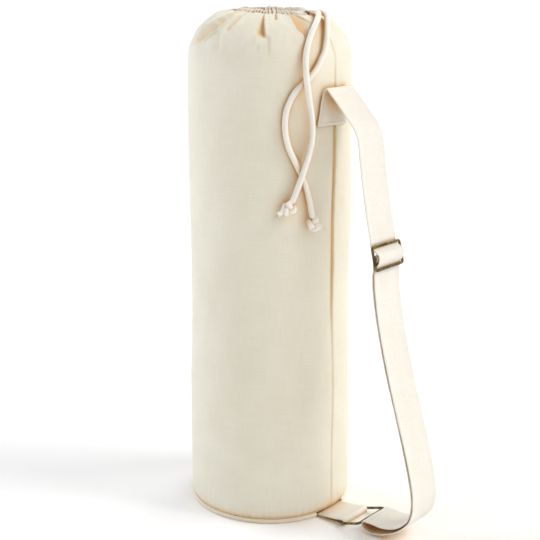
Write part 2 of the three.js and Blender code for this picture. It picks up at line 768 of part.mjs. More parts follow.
function makeDrawcord() {
  const hidden = [];
  const slitHalfAngle = 14;
  const hiddenStart = slitAzimuth + slitHalfAngle;
  const hiddenEnd = slitAzimuth + 360 - slitHalfAngle;
  const hiddenSteps = 24;
  for (let step = 0; step <= hiddenSteps; step += 1) {
    const azimuth = hiddenStart + ((hiddenEnd - hiddenStart) * step) / hiddenSteps;
    hidden.push(polar(azimuth, channelRadius(azimuth), channelHeight));
  }
  addPiece('drawcord_in_hem', cordTube(hidden, hiddenCordSides, hiddenCordStep), cottonCord);
  const strands = [
    { name: 'over', route: overStrand, tail: { sideways: -0.9, down: 0.43, seat: 1.11 } },
    { name: 'under', route: underStrand, tail: { sideways: 0.9, down: 0.43, seat: 0.97 } },
  ];
  for (const strand of strands) {
    const points = strand.route.map((row) => polar(...row));
    addPiece(`drawcord_${strand.name}`, cordTube(points, cordSides, cordStep), cottonCord);
    makeKnot(`cord_knot_${strand.name}`, strand.route, strand.tail);
  }
}

makeBase();
makeBody();
makeHem();
makeStrap();
makeRingAndTab();
makeDrawcord();

export default bag;
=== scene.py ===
import math

import bpy
import numpy as np
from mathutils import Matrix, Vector


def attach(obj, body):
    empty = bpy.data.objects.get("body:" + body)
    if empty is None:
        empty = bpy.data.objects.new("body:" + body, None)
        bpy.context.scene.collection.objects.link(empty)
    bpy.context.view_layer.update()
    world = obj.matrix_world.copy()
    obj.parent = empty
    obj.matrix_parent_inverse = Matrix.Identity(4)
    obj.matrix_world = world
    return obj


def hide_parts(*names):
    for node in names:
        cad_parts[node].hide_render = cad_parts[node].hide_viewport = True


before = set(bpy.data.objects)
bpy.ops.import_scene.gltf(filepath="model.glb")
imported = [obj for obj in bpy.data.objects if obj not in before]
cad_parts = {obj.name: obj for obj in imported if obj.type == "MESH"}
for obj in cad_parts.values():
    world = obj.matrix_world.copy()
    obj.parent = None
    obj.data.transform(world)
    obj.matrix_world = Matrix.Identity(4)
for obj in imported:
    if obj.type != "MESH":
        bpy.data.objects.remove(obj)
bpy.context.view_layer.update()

# Lengths here are millimetres, azimuths degrees about +Z from +X; meshes are written in metres.
MM = 0.001
random = np.random.default_rng(7)

# The sizes of the model, as the CAD part has them
BAG_HEIGHT = 620
BODY_RADIUS = 99
CANVAS = 2
SHOULDER_RISE = 60
MOUTH_RADIUS = 46
FOLD_DEPTH = 9
SEAM_RISE = 1.2
PIPING_HEIGHT = 6
PIPING_THICKNESS = 4.2
PANEL_THICKNESS = 2.4
CORD_RADIUS = 3.5
CORD_PLAY = 0.7
KNOT_RADIUS = 7.6
WEBBING_WIDTH = 50
WEBBING_THICKNESS = 2
WIRE_RADIUS = 1.6
CORNER_RADIUS = 3.2
SLIDER_HEIGHT = 30
RING_LENGTH = 31.5
SIDE_PLAY = 0.8
CLEARANCE = 0.3
ANCHOR_HEIGHT = 533
ANCHOR_LENGTH = 37
ANCHOR_SKEW = 7
STRAP_REACH = 135.5
RING_SEAT = 5.35
RING_LIFT = 8.4
SHOULDER_HEIGHT = BAG_HEIGHT - SHOULDER_RISE
HALF_WEBBING = WEBBING_WIDTH / 2
HALF_THICKNESS = WEBBING_THICKNESS / 2

# The heights between which the seam stands out most
SEAM_FROM = 200
SEAM_TO = 545

# height (share of the shoulder's height), radius (share of the body's radius)
TUBE_SECTIONS = np.array([
    [0.0, 1.022], [0.03, 1.027], [0.12, 1.023], [0.28, 1.016], [0.4, 1.002],
    [0.48, 0.992], [0.6, 0.996], [0.76, 1.002], [0.9, 0.996], [1.0, 0.988],
])

# The mouth's edge: azimuth, radius, rise, hem radius, gather. In front it stands up to 3 mm higher
# than in the CAD part, and on the viewer's left its hem is up to 3 mm tighter.
MOUTH_EDGE = np.array([
    [-180, 1.0, 0.96, 0.78, 1],
    [-140, 1.0, 0.965, 0.74, 1],
    [-105, 1.0, 0.955, 0.76, 1],
    [-75, 1.01, 0.938, 0.83, 1],
    [-45, 1.01, 0.93, 0.85, 1],
    [-25, 1.05, 0.92, 0.88, 0.6],
    [0, 1.12, 0.885, 0.95, 0.1],
    [26, 1.1, 0.87, 0.93, 0.1],
    [52, 1.02, 0.945, 0.84, 0.8],
    [100, 1.0, 0.955, 0.8, 1],
    [140, 1.0, 0.955, 0.8, 1],
    [180, 1.0, 0.955, 0.8, 1],
])

# Soft folds round the back: top azimuth, foot azimuth, from, to, deepest, depth, left and right width
FOLDS = [
    (45, 38, 0.35, 0.95, 0.5, 0.4, 6, 10),
    (66, 64, 0.25, 0.97, 0.4, 0.9, 11, 5),
    (91, 96, 0.4, 0.95, 0.5, 0.55, 6, 9),
    (116, 119, 0.2, 0.97, 0.45, 1.0, 13, 5),
    (143, 140, 0.42, 0.95, 0.5, 0.5, 7, 6),
    (167, 171, 0.25, 0.97, 0.4, 0.85, 6, 12),
    (195, 193, 0.45, 0.95, 0.5, 0.45, 7, 7),
    (218, 222, 0.25, 0.97, 0.45, 0.7, 9, 6),
    (236, 231, 0.3, 0.9, 0.5, 0.35, 6, 6),
]

# Sharp creases that run out from the gathers: top azimuth, foot azimuth, from, to, depth in
# millimetres, half width in degrees
CREASES = [
    (-73, -76, 0.6, 0.97, 0.9, 1.8), (-67, -70, 0.55, 0.95, -0.9, 2.2), (-50, -50.5, 0.62, 0.97, -0.8, 2.0),
    (-37, -36, 0.6, 0.97, 0.7, 2.0), (-71, -72, 0.05, 0.4, 0.6, 4.0), (-60.5, -61, 0.26, 0.46, -1.6, 5.0),
    (-38, -40, 0.1, 0.5, -0.5, 5.0),
    (38, 33, 0.4, 0.97, 1.0, 2.2), (57, 52, 0.3, 0.97, -1.3, 2.4), (74, 77, 0.25, 0.97, 1.2, 2.0),
    (84, 88, 0.4, 0.97, -1.2, 2.4), (102, 107, 0.3, 0.97, 1.3, 2.0), (109, 112, 0.15, 0.97, -1.5, 2.2),
    (127, 131, 0.3, 0.97, 1.1, 2.0), (135, 134, 0.4, 0.97, -1.1, 2.4), (152, 150, 0.25, 0.97, 1.3, 2.0),
    (160, 163, 0.2, 0.97, -1.5, 2.4), (178, 182, 0.3, 0.97, 1.2, 2.0), (188, 187, 0.35, 0.97, -1.1, 2.4),
    (204, 206, 0.25, 0.97, 1.3, 2.0), (211, 213, 0.2, 0.97, -1.4, 2.4), (228, 226, 0.3, 0.97, 1.2, 2.0),
    (244, 240, 0.35, 0.97, -1.2, 2.4),
]

# The large folds in front. Each starts with how much painted shade its hollow gets, the powers of its
# left and right flank and its left and right lip. Its rows are share, azimuth, depth, left width and right
# width.
DRAPES = [
    ((0.85, 1.1, 1.4, 0.5, 2.0), [
        (0.2, -118, 0.0, 14, 6), (0.28, -112, 1.3, 16, 4), (0.38, -105, 5.2, 20, 3.5),
        (0.5, -99.5, 8.0, 20, 3.5), (0.65, -95.5, 8.5, 15, 3.2), (0.78, -93, 7.0, 11, 3),
        (0.9, -92.5, 4.5, 9, 2.6), (1.0, -92, 1.5, 8, 2.4),
    ]),
    ((0.55, 1.3, 1.5, 0.0, 1.0), [
        (0.48, -86, 0.0, 3, 2), (0.53, -85, 4.2, 3.4, 2.2), (0.62, -83.5, 3.2, 5, 2.4),
        (0.75, -82.5, 2.4, 5, 2.4), (0.9, -81, 1.6, 4, 2), (1.0, -80, 0.6, 3, 2),
    ]),
    ((0.2, 1.2, 1.2, 0.0, 0.3), [
        (0.18, -88, 0.0, 5, 3), (0.25, -89, 1.3, 7, 3), (0.4, -91.5, 1.6, 8, 3), (0.5, -93.5, 0.0, 7, 3),
    ]),
    ((1.0, 1.3, 3.0, 0.2, 0.8), [
        (0.38, -55, 0.0, 5, 2.4), (0.44, -55.2, 2.6, 7, 2.2), (0.5, -55.6, 6.0, 7.5, 1.8),
        (0.62, -56.3, 5.4, 5, 1.6), (0.72, -57, 3.2, 3.2, 1.8), (0.82, -57.6, 1.8, 2.0, 1.6),
        (0.94, -58, 1.0, 1.6, 1.6), (1.0, -58, 0.0, 1.6, 1.6),
    ]),
    ((0.25, 1.0, 1.0, 0.2, 0.3), [
        (0.08, -51.5, 0.0, 4, 2), (0.2, -51.5, 1.3, 5, 2), (0.38, -51.7, 1.5, 4, 2), (0.47, -53, 0.0, 3, 2),
    ]),
    ((0.8, 1.5, 1.5, 0.2, 0.2), [
        (0.72, -44.5, 0.0, 1.8, 1.5), (0.78, -44.2, 2.4, 2.6, 1.8), (0.9, -43.5, 2.4, 2.4, 1.8),
        (1.0, -43, 0.6, 2, 1.6),
    ]),
    ((0.85, 2.0, 3.0, 0.9, 0.0), [
        (0.34, -21.5, 0.0, 2, 4), (0.42, -23, 2.6, 2, 5.5), (0.55, -26.5, 5.0, 2, 10),
        (0.68, -27.5, 5.6, 2, 14), (0.82, -27.5, 4.6, 2, 13), (0.93, -27.8, 2.6, 2, 12),
        (1.0, -28, 0.5, 2, 9),
    ]),
    ((1.0, 1.2, 1.2, 0.0, 0.5), [
        (0.6, -10, 0.0, 1.8, 1.2), (0.68, -12, 2.2, 2.2, 1.2), (0.82, -14.2, 2.6, 2.2, 1.2),
        (0.94, -17, 1.8, 2.2, 1.2), (1.0, -19.5, 0.4, 2, 1.2),
    ]),
]

# out, up, gap of the strap's run
STRAP_RUN = [
    (0.055, 0.9895, 0), (0.117, 0.974, 0), (0.213, 0.947, 0), (0.3, 0.922, 0),
    (0.352, 0.893, 0), (0.374, 0.8555, 0), (0.428, 0.769, 0), (0.48, 0.7036, 0),
    (0.545, 0.605, 1.25), (0.562, 0.561, 1.25), (0.612, 0.4934, 1.25), (0.7, 0.4006, 1.25),
    (0.81, 0.3077, 1.25), (0.918, 0.2158, 1.25), (0.985, 0.1445, 1.25), (1.0, 0.105, 1.3),
    (0.978, 0.073, 1.4), (0.925, 0.052, 1.6), (0.845, 0.033, 2.3), (0.73, 0.0168, 4.0),
    (0.6, 0.0072, 6.3), (0.53, 0.0082, 6.3), (0.49, 0.0135, 5.2),
]

# The drawcord's free ends: azimuth, radius, height
OVER_STRAND = [
    (16, 54.2, 614.6), (13, 59, 615.4), (8, 65.5, 614.4), (-1.5, 73.5, 610.8),
    (-10.5, 82, 605.5), (-17.3, 89.5, 598.4), (-23.4, 96.9, 586.6), (-26.4, 101.4, 575.9),
    (-27.6, 104, 566.2), (-28.2, 107.6, 555.5), (-28.4, 110.6, 543.6), (-27.4, 110.2, 532.4),
    (-26.3, 109.6, 520), (-25, 109.3, 507.5), (-24.2, 109.2, 493.8), (-24.3, 109.4, 480.2),
    (-25.3, 109.8, 469), (-27.2, 110.4, 456.7), (-29.5, 111.2, 444.5), (-31.6, 111, 433.2),
    (-33.4, 109.6, 422.7), (-34.9, 108.7, 414.3), (-36.8, 108.6, 406.5),
]
UNDER_STRAND = [
    (25, 54.2, 614.6), (22.5, 60, 615.4), (17.8, 68, 614.4), (9.2, 76.5, 609.8),
    (-0.4, 85.5, 602.6), (-7.4, 94.6, 590.6), (-10.8, 99, 580.6), (-13.4, 101.3, 572.4),
    (-15.8, 102, 566.4), (-18.2, 102.3, 558.8), (-20.9, 102.4, 552.6), (-24.5, 102.4, 545.9),
    (-28.7, 102.5, 539.6), (-33, 102.6, 533.1), (-37, 102.7, 522.8), (-39.8, 102.8, 510),
    (-40.8, 103, 495.4), (-40, 103.1, 479.5), (-37.8, 103.2, 465.8), (-34.7, 103.2, 454.1),
    (-31.5, 103.3, 442.3), (-28.5, 103.4, 430.4), (-25.9, 103.8, 416.7), (-24.4, 106.4, 401.1),
    (-23.4, 108.6, 386.5),
]


# Materials

class Material:
    """Builds a node material one node at a time."""

    def __init__(self, name):
        self.material = bpy.data.materials.new(name)
        self.material.use_nodes = True
        self.tree = self.material.node_tree
        self.tree.nodes.clear()
        self.shader = self.add("ShaderNodeBsdfPrincipled")
        self.add("ShaderNodeOutputMaterial", {"Surface": self.shader.outputs["BSDF"]})

    def put(self, value, socket):
        """Links an output to a socket or sets the socket's value."""
        if isinstance(value, bpy.types.NodeSocket):
            self.tree.links.new(value, socket)
        else:
            socket.default_value = value

    def add(self, kind, inputs=None, **settings):
        node = self.tree.nodes.new(kind)
        for key, value in settings.items():
            setattr(node, key, value)
        for key, value in (inputs or {}).items():
            self.put(value, node.inputs[key])
        return node

    def math(self, operation, *values):
        inputs = {place: value for place, value in enumerate(values)}
        return self.add("ShaderNodeMath", inputs, operation=operation).outputs[0]

    def noise(self, vector, scale, detail=3.0, rough=0.5):
        inputs = {"Vector": vector, "Scale": scale, "Detail": detail, "Roughness": rough}
        return self.add("ShaderNodeTexNoise", inputs).outputs["Fac"]

    def place(self, vector, scale):
        inputs = {"Vector": vector, "Scale": scale}
        return self.add("ShaderNodeMapping", inputs).outputs["Vector"]

    def spread(self, value, low, high, to_low=0.0, to_high=1.0):
        inputs = {"Value": value, "From Min": low, "From Max": high}
        inputs.update({"To Min": to_low, "To Max": to_high})
        return self.add("ShaderNodeMapRange", inputs, interpolation_type="SMOOTHSTEP").outputs["Result"]

    def mix(self, share, first, second):
        inputs = {0: share, 6: first, 7: second}
        return self.add("ShaderNodeMix", inputs, data_type="RGBA").outputs[2]

    def bump(self, height, strength, distance, normal=None):
        inputs = {"Height": height, "Strength": strength, "Distance": distance}
        if normal is not None:
            inputs["Normal"] = normal
        return self.add("ShaderNodeBump", inputs).outputs["Normal"]

    def set(self, **values):
        for key, value in values.items():
            self.put(value, self.shader.inputs[key.replace("_", " ")])
        return self.material


def linear(red, green, blue):
    """A colour given as it looks on a screen, 0 to 255."""
    shares = [value / 255 for value in (red, green, blue)]
    return (*[s / 12.92 if s <= 0.04045 else ((s + 0.055) / 1.055) ** 2.4 for s in shares], 1.0)


# Colours of the painted shade in hollows and pleats, and of the flecks, and lengths in metres that the
# cloth materials use
# Painted shade: the tan that hollows and folds get in place of the light they miss
PAINTED_SHADE_TAN = linear(228, 184, 120)
# Darker painted shade for the valleys between the hem's pleats
PAINTED_PLEAT_SHADE = linear(196, 152, 100)
FLECK_BROWN = linear(168, 140, 98)
# How far the hollow test looks for cloth that blocks light, for the painted shade, in metres
PAINTED_SHADE_REACH = 0.028
WEAVE_RELIEF = 0.0004
SLUB_RELIEF = 0.0009

# Distance between threads in millimetres, and how strong the weave is
CANVAS_WEAVE = (1.1, 0.35)
WEBBING_WEAVE = (1.7, 0.6)
CORD_WEAVE = (0.8, 0.3)


def woven(
    name, light, dark, shadow, spacing, relief,
    mottle=1.0, flecks=0.0, rib=1.0, folds=0.0, hollow_shade=0.95,
):
    """Cloth with a plain weave on the map "cloth", in millimetres. spacing: from thread to thread.
    rib: how much the threads that run across stand out from the ones that run along. The last two
    say how much of the shadow colour is painted on as shade: where the map "folds" says, and in hollows."""
    m = Material(name)
    cloth = m.add("ShaderNodeUVMap", uv_map="cloth").outputs["UV"]
    split = m.add("ShaderNodeSeparateXYZ", {"Vector": cloth})
    across, along = split.outputs["X"], split.outputs["Y"]
    wobble = m.noise(m.place(cloth, (0.09, 0.09, 1)), 1.0, 2.0)
    turn = 2 * math.pi / spacing
    phase_x = m.math("MULTIPLY_ADD", across, turn, m.math("MULTIPLY", wobble, 2.0))
    phase_y = m.math("MULTIPLY_ADD", along, turn, m.math("MULTIPLY", wobble, 3.0))
    wave_x = m.math("SINE", phase_x)
    wave_y = m.math("SINE", phase_y)
    crossing = m.math("MULTIPLY", wave_x, wave_y)
    ribs = m.math("MULTIPLY", wave_y, rib)
    weave = m.math("ADD", crossing, ribs)

    slub_along = m.noise(m.place(cloth, (0.9, 0.035, 1)), 1.0, 3.0)
    slub_across = m.noise(m.place(cloth, (0.03, 0.8, 1)), 1.0, 3.0)
    slubs = m.math("ADD", slub_along, slub_across)
    where = m.add("ShaderNodeTexCoord").outputs["Object"]
    clouds = m.noise(where, 9.0, 3.0, 0.5)
    patches = m.noise(where, 38.0, 4.0, 0.55)
    tone = m.math("MULTIPLY", patches, 0.22 * mottle)
    for part, amount in ((clouds, 0.5 * mottle), (slubs, 0.34), (crossing, 0.05)):
        tone = m.math("ADD", tone, m.math("MULTIPLY", part, amount))
    middle = 0.36 * mottle + 0.34
    shade = m.spread(tone, middle - 0.35, middle + 0.35)
    colour = m.mix(shade, dark, light)
    if flecks:
        spots = m.add("ShaderNodeTexVoronoi", {"Vector": m.place(cloth, (0.09, 0.05, 1)), "Scale": 1.0})
        speck = m.spread(spots.outputs["Distance"], 0.035, 0.06, flecks, 0.0)
        colour = m.mix(speck, colour, FLECK_BROWN)
    # Painted shade: the colour turns towards the shadow colour where ambient occlusion finds the cloth
    # hidden from light, and where the map "folds" holds painted fold shade
    hollow = m.add("ShaderNodeAmbientOcclusion", {"Distance": PAINTED_SHADE_REACH}, samples=12).outputs["AO"]
    deep = m.spread(hollow, 0.2, 0.95, hollow_shade, 0.0)
    if folds:
        painted_shade_map = m.add("ShaderNodeUVMap", uv_map="folds").outputs["UV"]
        fold_shade_share = m.add("ShaderNodeSeparateXYZ", {"Vector": painted_shade_map}).outputs["X"]
        deep = m.math("MAXIMUM", deep, m.math("MULTIPLY", fold_shade_share, folds))
    colour = m.mix(deep, colour, shadow)
    fine = m.bump(weave, relief, WEAVE_RELIEF)
    normal = m.bump(slubs, 0.25, SLUB_RELIEF, fine)
    rough = m.spread(slubs, 0.6, 1.4, 0.86, 0.97)
    m.set(Base_Color=colour, Roughness=rough, Normal=normal)
    m.set(Sheen_Weight=0.12, Sheen_Roughness=0.5, Specular_IOR_Level=0.2)
    return m.material


def antique_brass():
    m = Material("antique_brass")
    where = m.add("ShaderNodeTexCoord").outputs["Object"]
    patina = m.noise(where, 260.0, 5.0, 0.65)
    scratches = m.noise(m.place(where, (900, 900, 90)), 1.0, 3.0)
    worn = m.spread(m.math("ADD", patina, m.math("MULTIPLY", scratches, 0.35)), 0.55, 0.85)
    colour = m.mix(worn, linear(76, 66, 44), linear(158, 140, 94))
    rough = m.spread(patina, 0.3, 0.7, 0.5, 0.3)
    normal = m.bump(scratches, 0.15, 0.0003)
    return m.set(Base_Color=colour, Metallic=1.0, Roughness=rough, Normal=normal)


def thread_material():
    m = Material("cotton_thread")
    where = m.add("ShaderNodeTexCoord").outputs["Object"]
    twist = m.noise(where, 1400.0, 2.0)
    colour = m.mix(twist, linear(214, 203, 176), linear(240, 234, 216))
    return m.set(Base_Color=colour, Roughness=0.8, Sheen_Weight=0.2)


def floor_material():
    m = Material("studio_floor")
    where = m.add("ShaderNodeTexCoord").outputs["Object"]
    soft = m.noise(where, 1.5, 2.0)
    colour = m.mix(soft, (0.92, 0.91, 0.90, 1), (0.93, 0.92, 0.91, 1))
    m.set(Emission_Color=(1.0, 0.95, 0.88, 1), Emission_Strength=0.06)
    return m.set(Base_Color=colour, Roughness=0.9, Specular_IOR_Level=0.1)


# Each cloth is painted towards its shadow colour in hollows, as shade; the body and hem also where their
# map "folds" says
canvas_cloth = woven(
    "natural_canvas", linear(244, 240, 225), linear(233, 226, 205), PAINTED_SHADE_TAN, *CANVAS_WEAVE,
    flecks=0.15, rib=0.15, folds=0.9,
)
hem_cloth = woven(
    "hem_canvas", linear(245, 241, 231), linear(233, 226, 210), PAINTED_PLEAT_SHADE, *CANVAS_WEAVE,
    rib=0.15, folds=0.9,
)
# The rim gets less painted shade in its hollows
rim_cloth = woven(
    "rim_canvas", linear(246, 242, 229), linear(236, 229, 210), PAINTED_SHADE_TAN, *CANVAS_WEAVE,
    hollow_shade=0.4,
)
webbing_cloth = woven(
    "cotton_webbing", linear(251, 248, 240), linear(243, 238, 225), PAINTED_SHADE_TAN, *WEBBING_WEAVE,
    mottle=0.6, rib=0.9,
)
cord_cloth = woven(
    "cotton_cord", linear(251, 249, 243), linear(242, 237, 225), PAINTED_SHADE_TAN, *CORD_WEAVE,
    mottle=0.5, rib=0.4,
)
brass = antique_brass()
thread = thread_material()


# Meshes

def smooth(share):
    t = np.clip(share, 0, 1)
    return t * t * (3 - 2 * t)


def read_table(places, values, place):
    """values over places, eased between neighbours."""
    place = np.clip(place, places[0], places[-1])
    low = np.clip(np.searchsorted(places, place, side="right") - 1, 0, len(places) - 2)
    share = (place - places[low]) / (places[low + 1] - places[low])
    return values[low] + (values[low + 1] - values[low]) * smooth(share)


def turn_between(azimuth, start):
    return (azimuth - start + 180) % 360 - 180


def mouth_at(azimuth, column):
    return read_table(MOUTH_EDGE[:, 0], MOUTH_EDGE[:, column], turn_between(azimuth, 0))


def tube_radius(height):
    shares = np.asarray(height, float) / SHOULDER_HEIGHT
    return BODY_RADIUS * read_table(TUBE_SECTIONS[:, 0], TUBE_SECTIONS[:, 1], shares)


def polar(azimuth, radius, height):
    angle = np.radians(azimuth)
    x, y, z = np.broadcast_arrays(radius * np.cos(angle), radius * np.sin(angle), height)
    return np.stack([x, y, z], -1).astype(float)


def ripples(azimuth, height, count, turns, length, seed):
    """Soft relief that closes around the bag: a sum of waves with whole numbers of turns, from
    turns[0] to turns[1], and heights of a wave from length[0] to length[1]."""
    draw = np.random.default_rng(seed)
    total = 0
    for _ in range(count):
        around = draw.integers(turns[0], turns[1] + 1)
        rise = draw.choice([-1, 1]) * 2 * math.pi / draw.uniform(*length)
        total = total + np.sin(np.radians(azimuth) * around + height * rise + draw.uniform(0, 6.3))
    return total / math.sqrt(count)


def cloth_map(across, along):
    """The map in millimetres: lengths across for each column and along for each row."""
    return np.stack(np.broadcast_arrays(across[None, :], along[:, None]), -1)


def wrap_lengths(sides, radius):
    """Lengths round a tube at each of its sides, and once more where it closes."""
    return np.arange(sides + 1) * 2 * math.pi * radius / sides


def grid_mesh(name, points, cloth, material, close_rows=False, folds=None):
    """A mesh from rows and columns of points. Columns close, and rows where asked. cloth and
    folds: its maps, with one row or column more than points where those close. folds holds painted shade."""
    rows, columns = points.shape[:2]
    row = np.arange(rows if close_rows else rows - 1)
    column = np.arange(columns)
    r, c = np.meshgrid(row, column, indexing="ij")
    r, c = r.ravel(), c.ravel()
    corners = [(r, c), (r, c + 1), (r + 1, c + 1), (r + 1, c)]
    faces = np.stack([(a % rows) * columns + b % columns for a, b in corners], -1)
    maps = {"cloth": np.stack([cloth[a, b] for a, b in corners], 1)}
    if folds is not None:
        maps["folds"] = np.stack([folds[a, b] for a, b in corners], 1)
    return raw_mesh(name, points.reshape(-1, 3), faces.tolist(), material, maps)


def add_object(name, data):
    item = bpy.data.objects.new(name, data)
    bpy.context.scene.collection.objects.link(item)
    return item


def raw_mesh(name, points, faces, material, maps=None):
    mesh = bpy.data.meshes.new(name)
    mesh.from_pydata((np.asarray(points) * MM).tolist(), [], faces)
    for title, values in (maps or {}).items():
        layer = mesh.uv_layers.new(name=title)
        layer.data.foreach_set("uv", np.asarray(values, np.float32).ravel())
    mesh.polygons.foreach_set("use_smooth", [True] * len(mesh.polygons))
    mesh.materials.append(material)
    mesh.update()
    piece = add_object(name, mesh)
    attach(piece, "root")
    return piece


def catmull(points, steps, alpha=0.0):
    """A smooth line through points. alpha 0 is even in steps, 0.5 is centripetal."""
    points = np.asarray(points, float)
    line = [points[0]]
    padded = np.vstack([2 * points[0] - points[1], points, 2 * points[-1] - points[-2]])
    if alpha == 0:
        padded[0], padded[-1] = points[0], points[-1]
    for i in range(1, len(padded) - 2):
        p0, p1, p2, p3 = padded[i - 1:i + 3]
        gaps = [np.linalg.norm(b - a) ** alpha for a, b in ((p0, p1), (p1, p2), (p2, p3))]
        m1 = ((p1 - p0) / gaps[0] - (p2 - p0) / (gaps[0] + gaps[1]) + (p2 - p1) / gaps[1]) * gaps[1]
        m2 = ((p2 - p1) / gaps[1] - (p3 - p1) / (gaps[1] + gaps[2]) + (p3 - p2) / gaps[2]) * gaps[1]
        for step in range(1, steps + 1):
            t = step / steps
            a = 2 * t ** 3 - 3 * t ** 2 + 1
            b = t ** 3 - 2 * t ** 2 + t
            line.append(a * p1 + b * m1 + (1 - a) * p2 + (t ** 3 - t ** 2) * m2)
    return np.array(line)


def run_along(line):
    """The length run at each point of a line."""
    return np.concatenate([[0], np.cumsum(np.linalg.norm(np.diff(line, axis=0), axis=1))])


def points_at(places, run, line):
    return np.stack([np.interp(places, run, line[:, axis]) for axis in range(3)], -1)


def even_line(line, step):
    """The same line in even steps of about that length, and the length run at each point."""
    run = run_along(line)
    places = np.linspace(0, run[-1], max(3, round(run[-1] / step) + 1))
    return points_at(places, run, line), places


def tube(name, line, run, radius, material, sides, closed=False, relief=None):
    """A tube along a line. relief(angle, run): how far the skin stands out."""
    tangent = np.gradient(line, axis=0)
    if closed:
        tangent = np.roll(line, -1, 0) - np.roll(line, 1, 0)
    tangent /= np.linalg.norm(tangent, axis=1)[:, None]
    side = np.cross(tangent[0], [0.31, 0.17, 0.93])
    sideways = []
    for direction in tangent:
        side = side - direction * (side @ direction)
        side = side / np.linalg.norm(side)
        sideways.append(side)
    sideways = np.array(sideways)
    other = np.cross(tangent, sideways)
    angle = np.arange(sides) * 2 * math.pi / sides
    reach = np.full((len(line), sides), float(radius))
    if relief is not None:
        reach = reach + relief(angle[None, :], run[:, None])
    skin = line[:, None] + reach[..., None] * (
        np.cos(angle)[None, :, None] * sideways[:, None] + np.sin(angle)[None, :, None] * other[:, None]
    )
    lengths = np.append(run, run[-1] + np.linalg.norm(line[0] - line[-1])) if closed else run
    cloth = cloth_map(wrap_lengths(sides, radius), lengths)
    piece = grid_mesh(name, skin, cloth, material, close_rows=closed)
    if not closed:
        cap_ends(piece, len(line), sides)
    return piece


def cap_ends(piece, rows, sides, flat=True):
    """Closes a tube's first and last row with a face each, flat or as smooth as the rest."""
    mesh = piece.data
    points = [v.co[:] for v in mesh.vertices]
    faces = [list(p.vertices) for p in mesh.polygons]
    maps = [tuple(loop.uv) for loop in mesh.uv_layers["cloth"].data]
    last = (rows - 1) * sides
    faces.append(list(range(sides))[::-1])
    faces.append(list(range(last, last + sides)))
    maps += [maps[0]] * (2 * sides)
    fresh = bpy.data.meshes.new(mesh.name)
    fresh.from_pydata(points, [], faces)
    layer = fresh.uv_layers.new(name="cloth")
    layer.data.foreach_set("uv", np.array(maps, np.float32).ravel())
    fresh.polygons.foreach_set("use_smooth", [True] * (len(faces) - 2) + [not flat] * 2)
    fresh.materials.append(mesh.materials[0])
    piece.data = fresh
    bpy.data.meshes.remove(mesh)


def rod_faces(first, rings, sides):
    """The faces of a small closed rod whose rings of points start at number first."""
    faces = []
    for ring in range(rings - 1):
        for side in range(sides):
            a = first + ring * sides + side
            b = first + ring * sides + (side + 1) % sides
            faces.append([a, b, b + sides, a + sides])
    last = first + (rings - 1) * sides
    faces.append([first + side for side in range(sides - 1, -1, -1)])
    faces.append([last + side for side in range(sides)])
    return faces


# Rows across one stitch: share of its length, share of its thickness, lift in thicknesses
STITCH_RINGS = np.array([
    [0, 0.25, -0.5], [0.12, 0.75, 0.05], [0.3, 1, 0.35],
    [0.7, 1, 0.35], [0.88, 0.75, 0.05], [1.0, 0.25, -0.5],
])
STITCH_SIDES = 6


def stitches(name, lines, length, gap, thickness, sink=0.1):
    """Thread on the cloth: short rounded stitches along lines of points with their normals."""
    points, faces = [], []
    angles = np.arange(STITCH_SIDES) * 2 * math.pi / STITCH_SIDES
    reach = thickness / 2 * STITCH_RINGS[:, 1]
    lift = STITCH_RINGS[:, 2] * thickness - sink
    for line, normals in lines:
        run = run_along(line)
        count = int(run[-1] // (length + gap))
        for stitch in range(count):
            start = (stitch + 0.5 * gap / (length + gap)) * run[-1] / count
            places = start + STITCH_RINGS[:, 0] * length
            middle = points_at(places, run, line)
            normal = points_at(places, run, normals)
            normal /= np.linalg.norm(normal, axis=1)[:, None]
            along = middle[-1] - middle[0]
            along /= np.linalg.norm(along)
            across = np.cross(normal, along)
            faces += rod_faces(len(points), len(STITCH_RINGS), STITCH_SIDES)
            for ring in range(len(STITCH_RINGS)):
                centre = middle[ring] + normal[ring] * lift[ring]
                for angle in angles:
                    offset = math.cos(angle) * across[ring] * 1.2 + math.sin(angle) * normal[ring]
                    points.append(centre + reach[ring] * offset)
    return raw_mesh(name, np.array(points), faces, thread)


# Body

COLUMNS = 560
HEM_COLUMNS = 1080
PLEATS = 80
around = np.arange(COLUMNS) * 360 / COLUMNS


def pleat_edges():
    """Azimuths of the valleys between the small pleats at the mouth, unevenly spaced."""
    draw = np.random.default_rng(11)
    widths = draw.uniform(2.4, 6.8, PLEATS)
    widths = widths * 360 / widths.sum()
    edges = np.concatenate([[0], np.cumsum(widths)]) - 180
    return edges, draw.uniform(0.35, 1.15, PLEATS), draw.uniform(0.8, 0.93, PLEATS)


EDGES, PLEAT_DEPTHS, PLEAT_STARTS = pleat_edges()


def pleats_at(azimuth):
    """Which pleat an azimuth is in, how far it stands out there from 0 to 1, its own depth and
    how far down the dome it reaches."""
    turned = turn_between(azimuth, 0)
    which = np.clip(np.searchsorted(EDGES, turned, side="right") - 1, 0, len(PLEAT_DEPTHS) - 1)
    share = (turned - EDGES[which]) / (EDGES[which + 1] - EDGES[which])
    puff = np.sin(math.pi * np.clip(share, 0, 1)) ** 0.75
    return puff, PLEAT_DEPTHS[which], PLEAT_STARTS[which]


def gather_at(azimuth):
    """How much the mouth is gathered: less where the cord comes out."""
    return 0.25 + 0.75 * mouth_at(azimuth, 4)


def along_fold(azimuth, share, top, foot, start, end):
    """The share run along a fold, the degrees beside its line, and where the fold is."""
    along = (share - start) / (end - start)
    beside = turn_between(azimuth, foot + (top - foot) * along)
    return along, beside, (along > 0) & (along < 1)


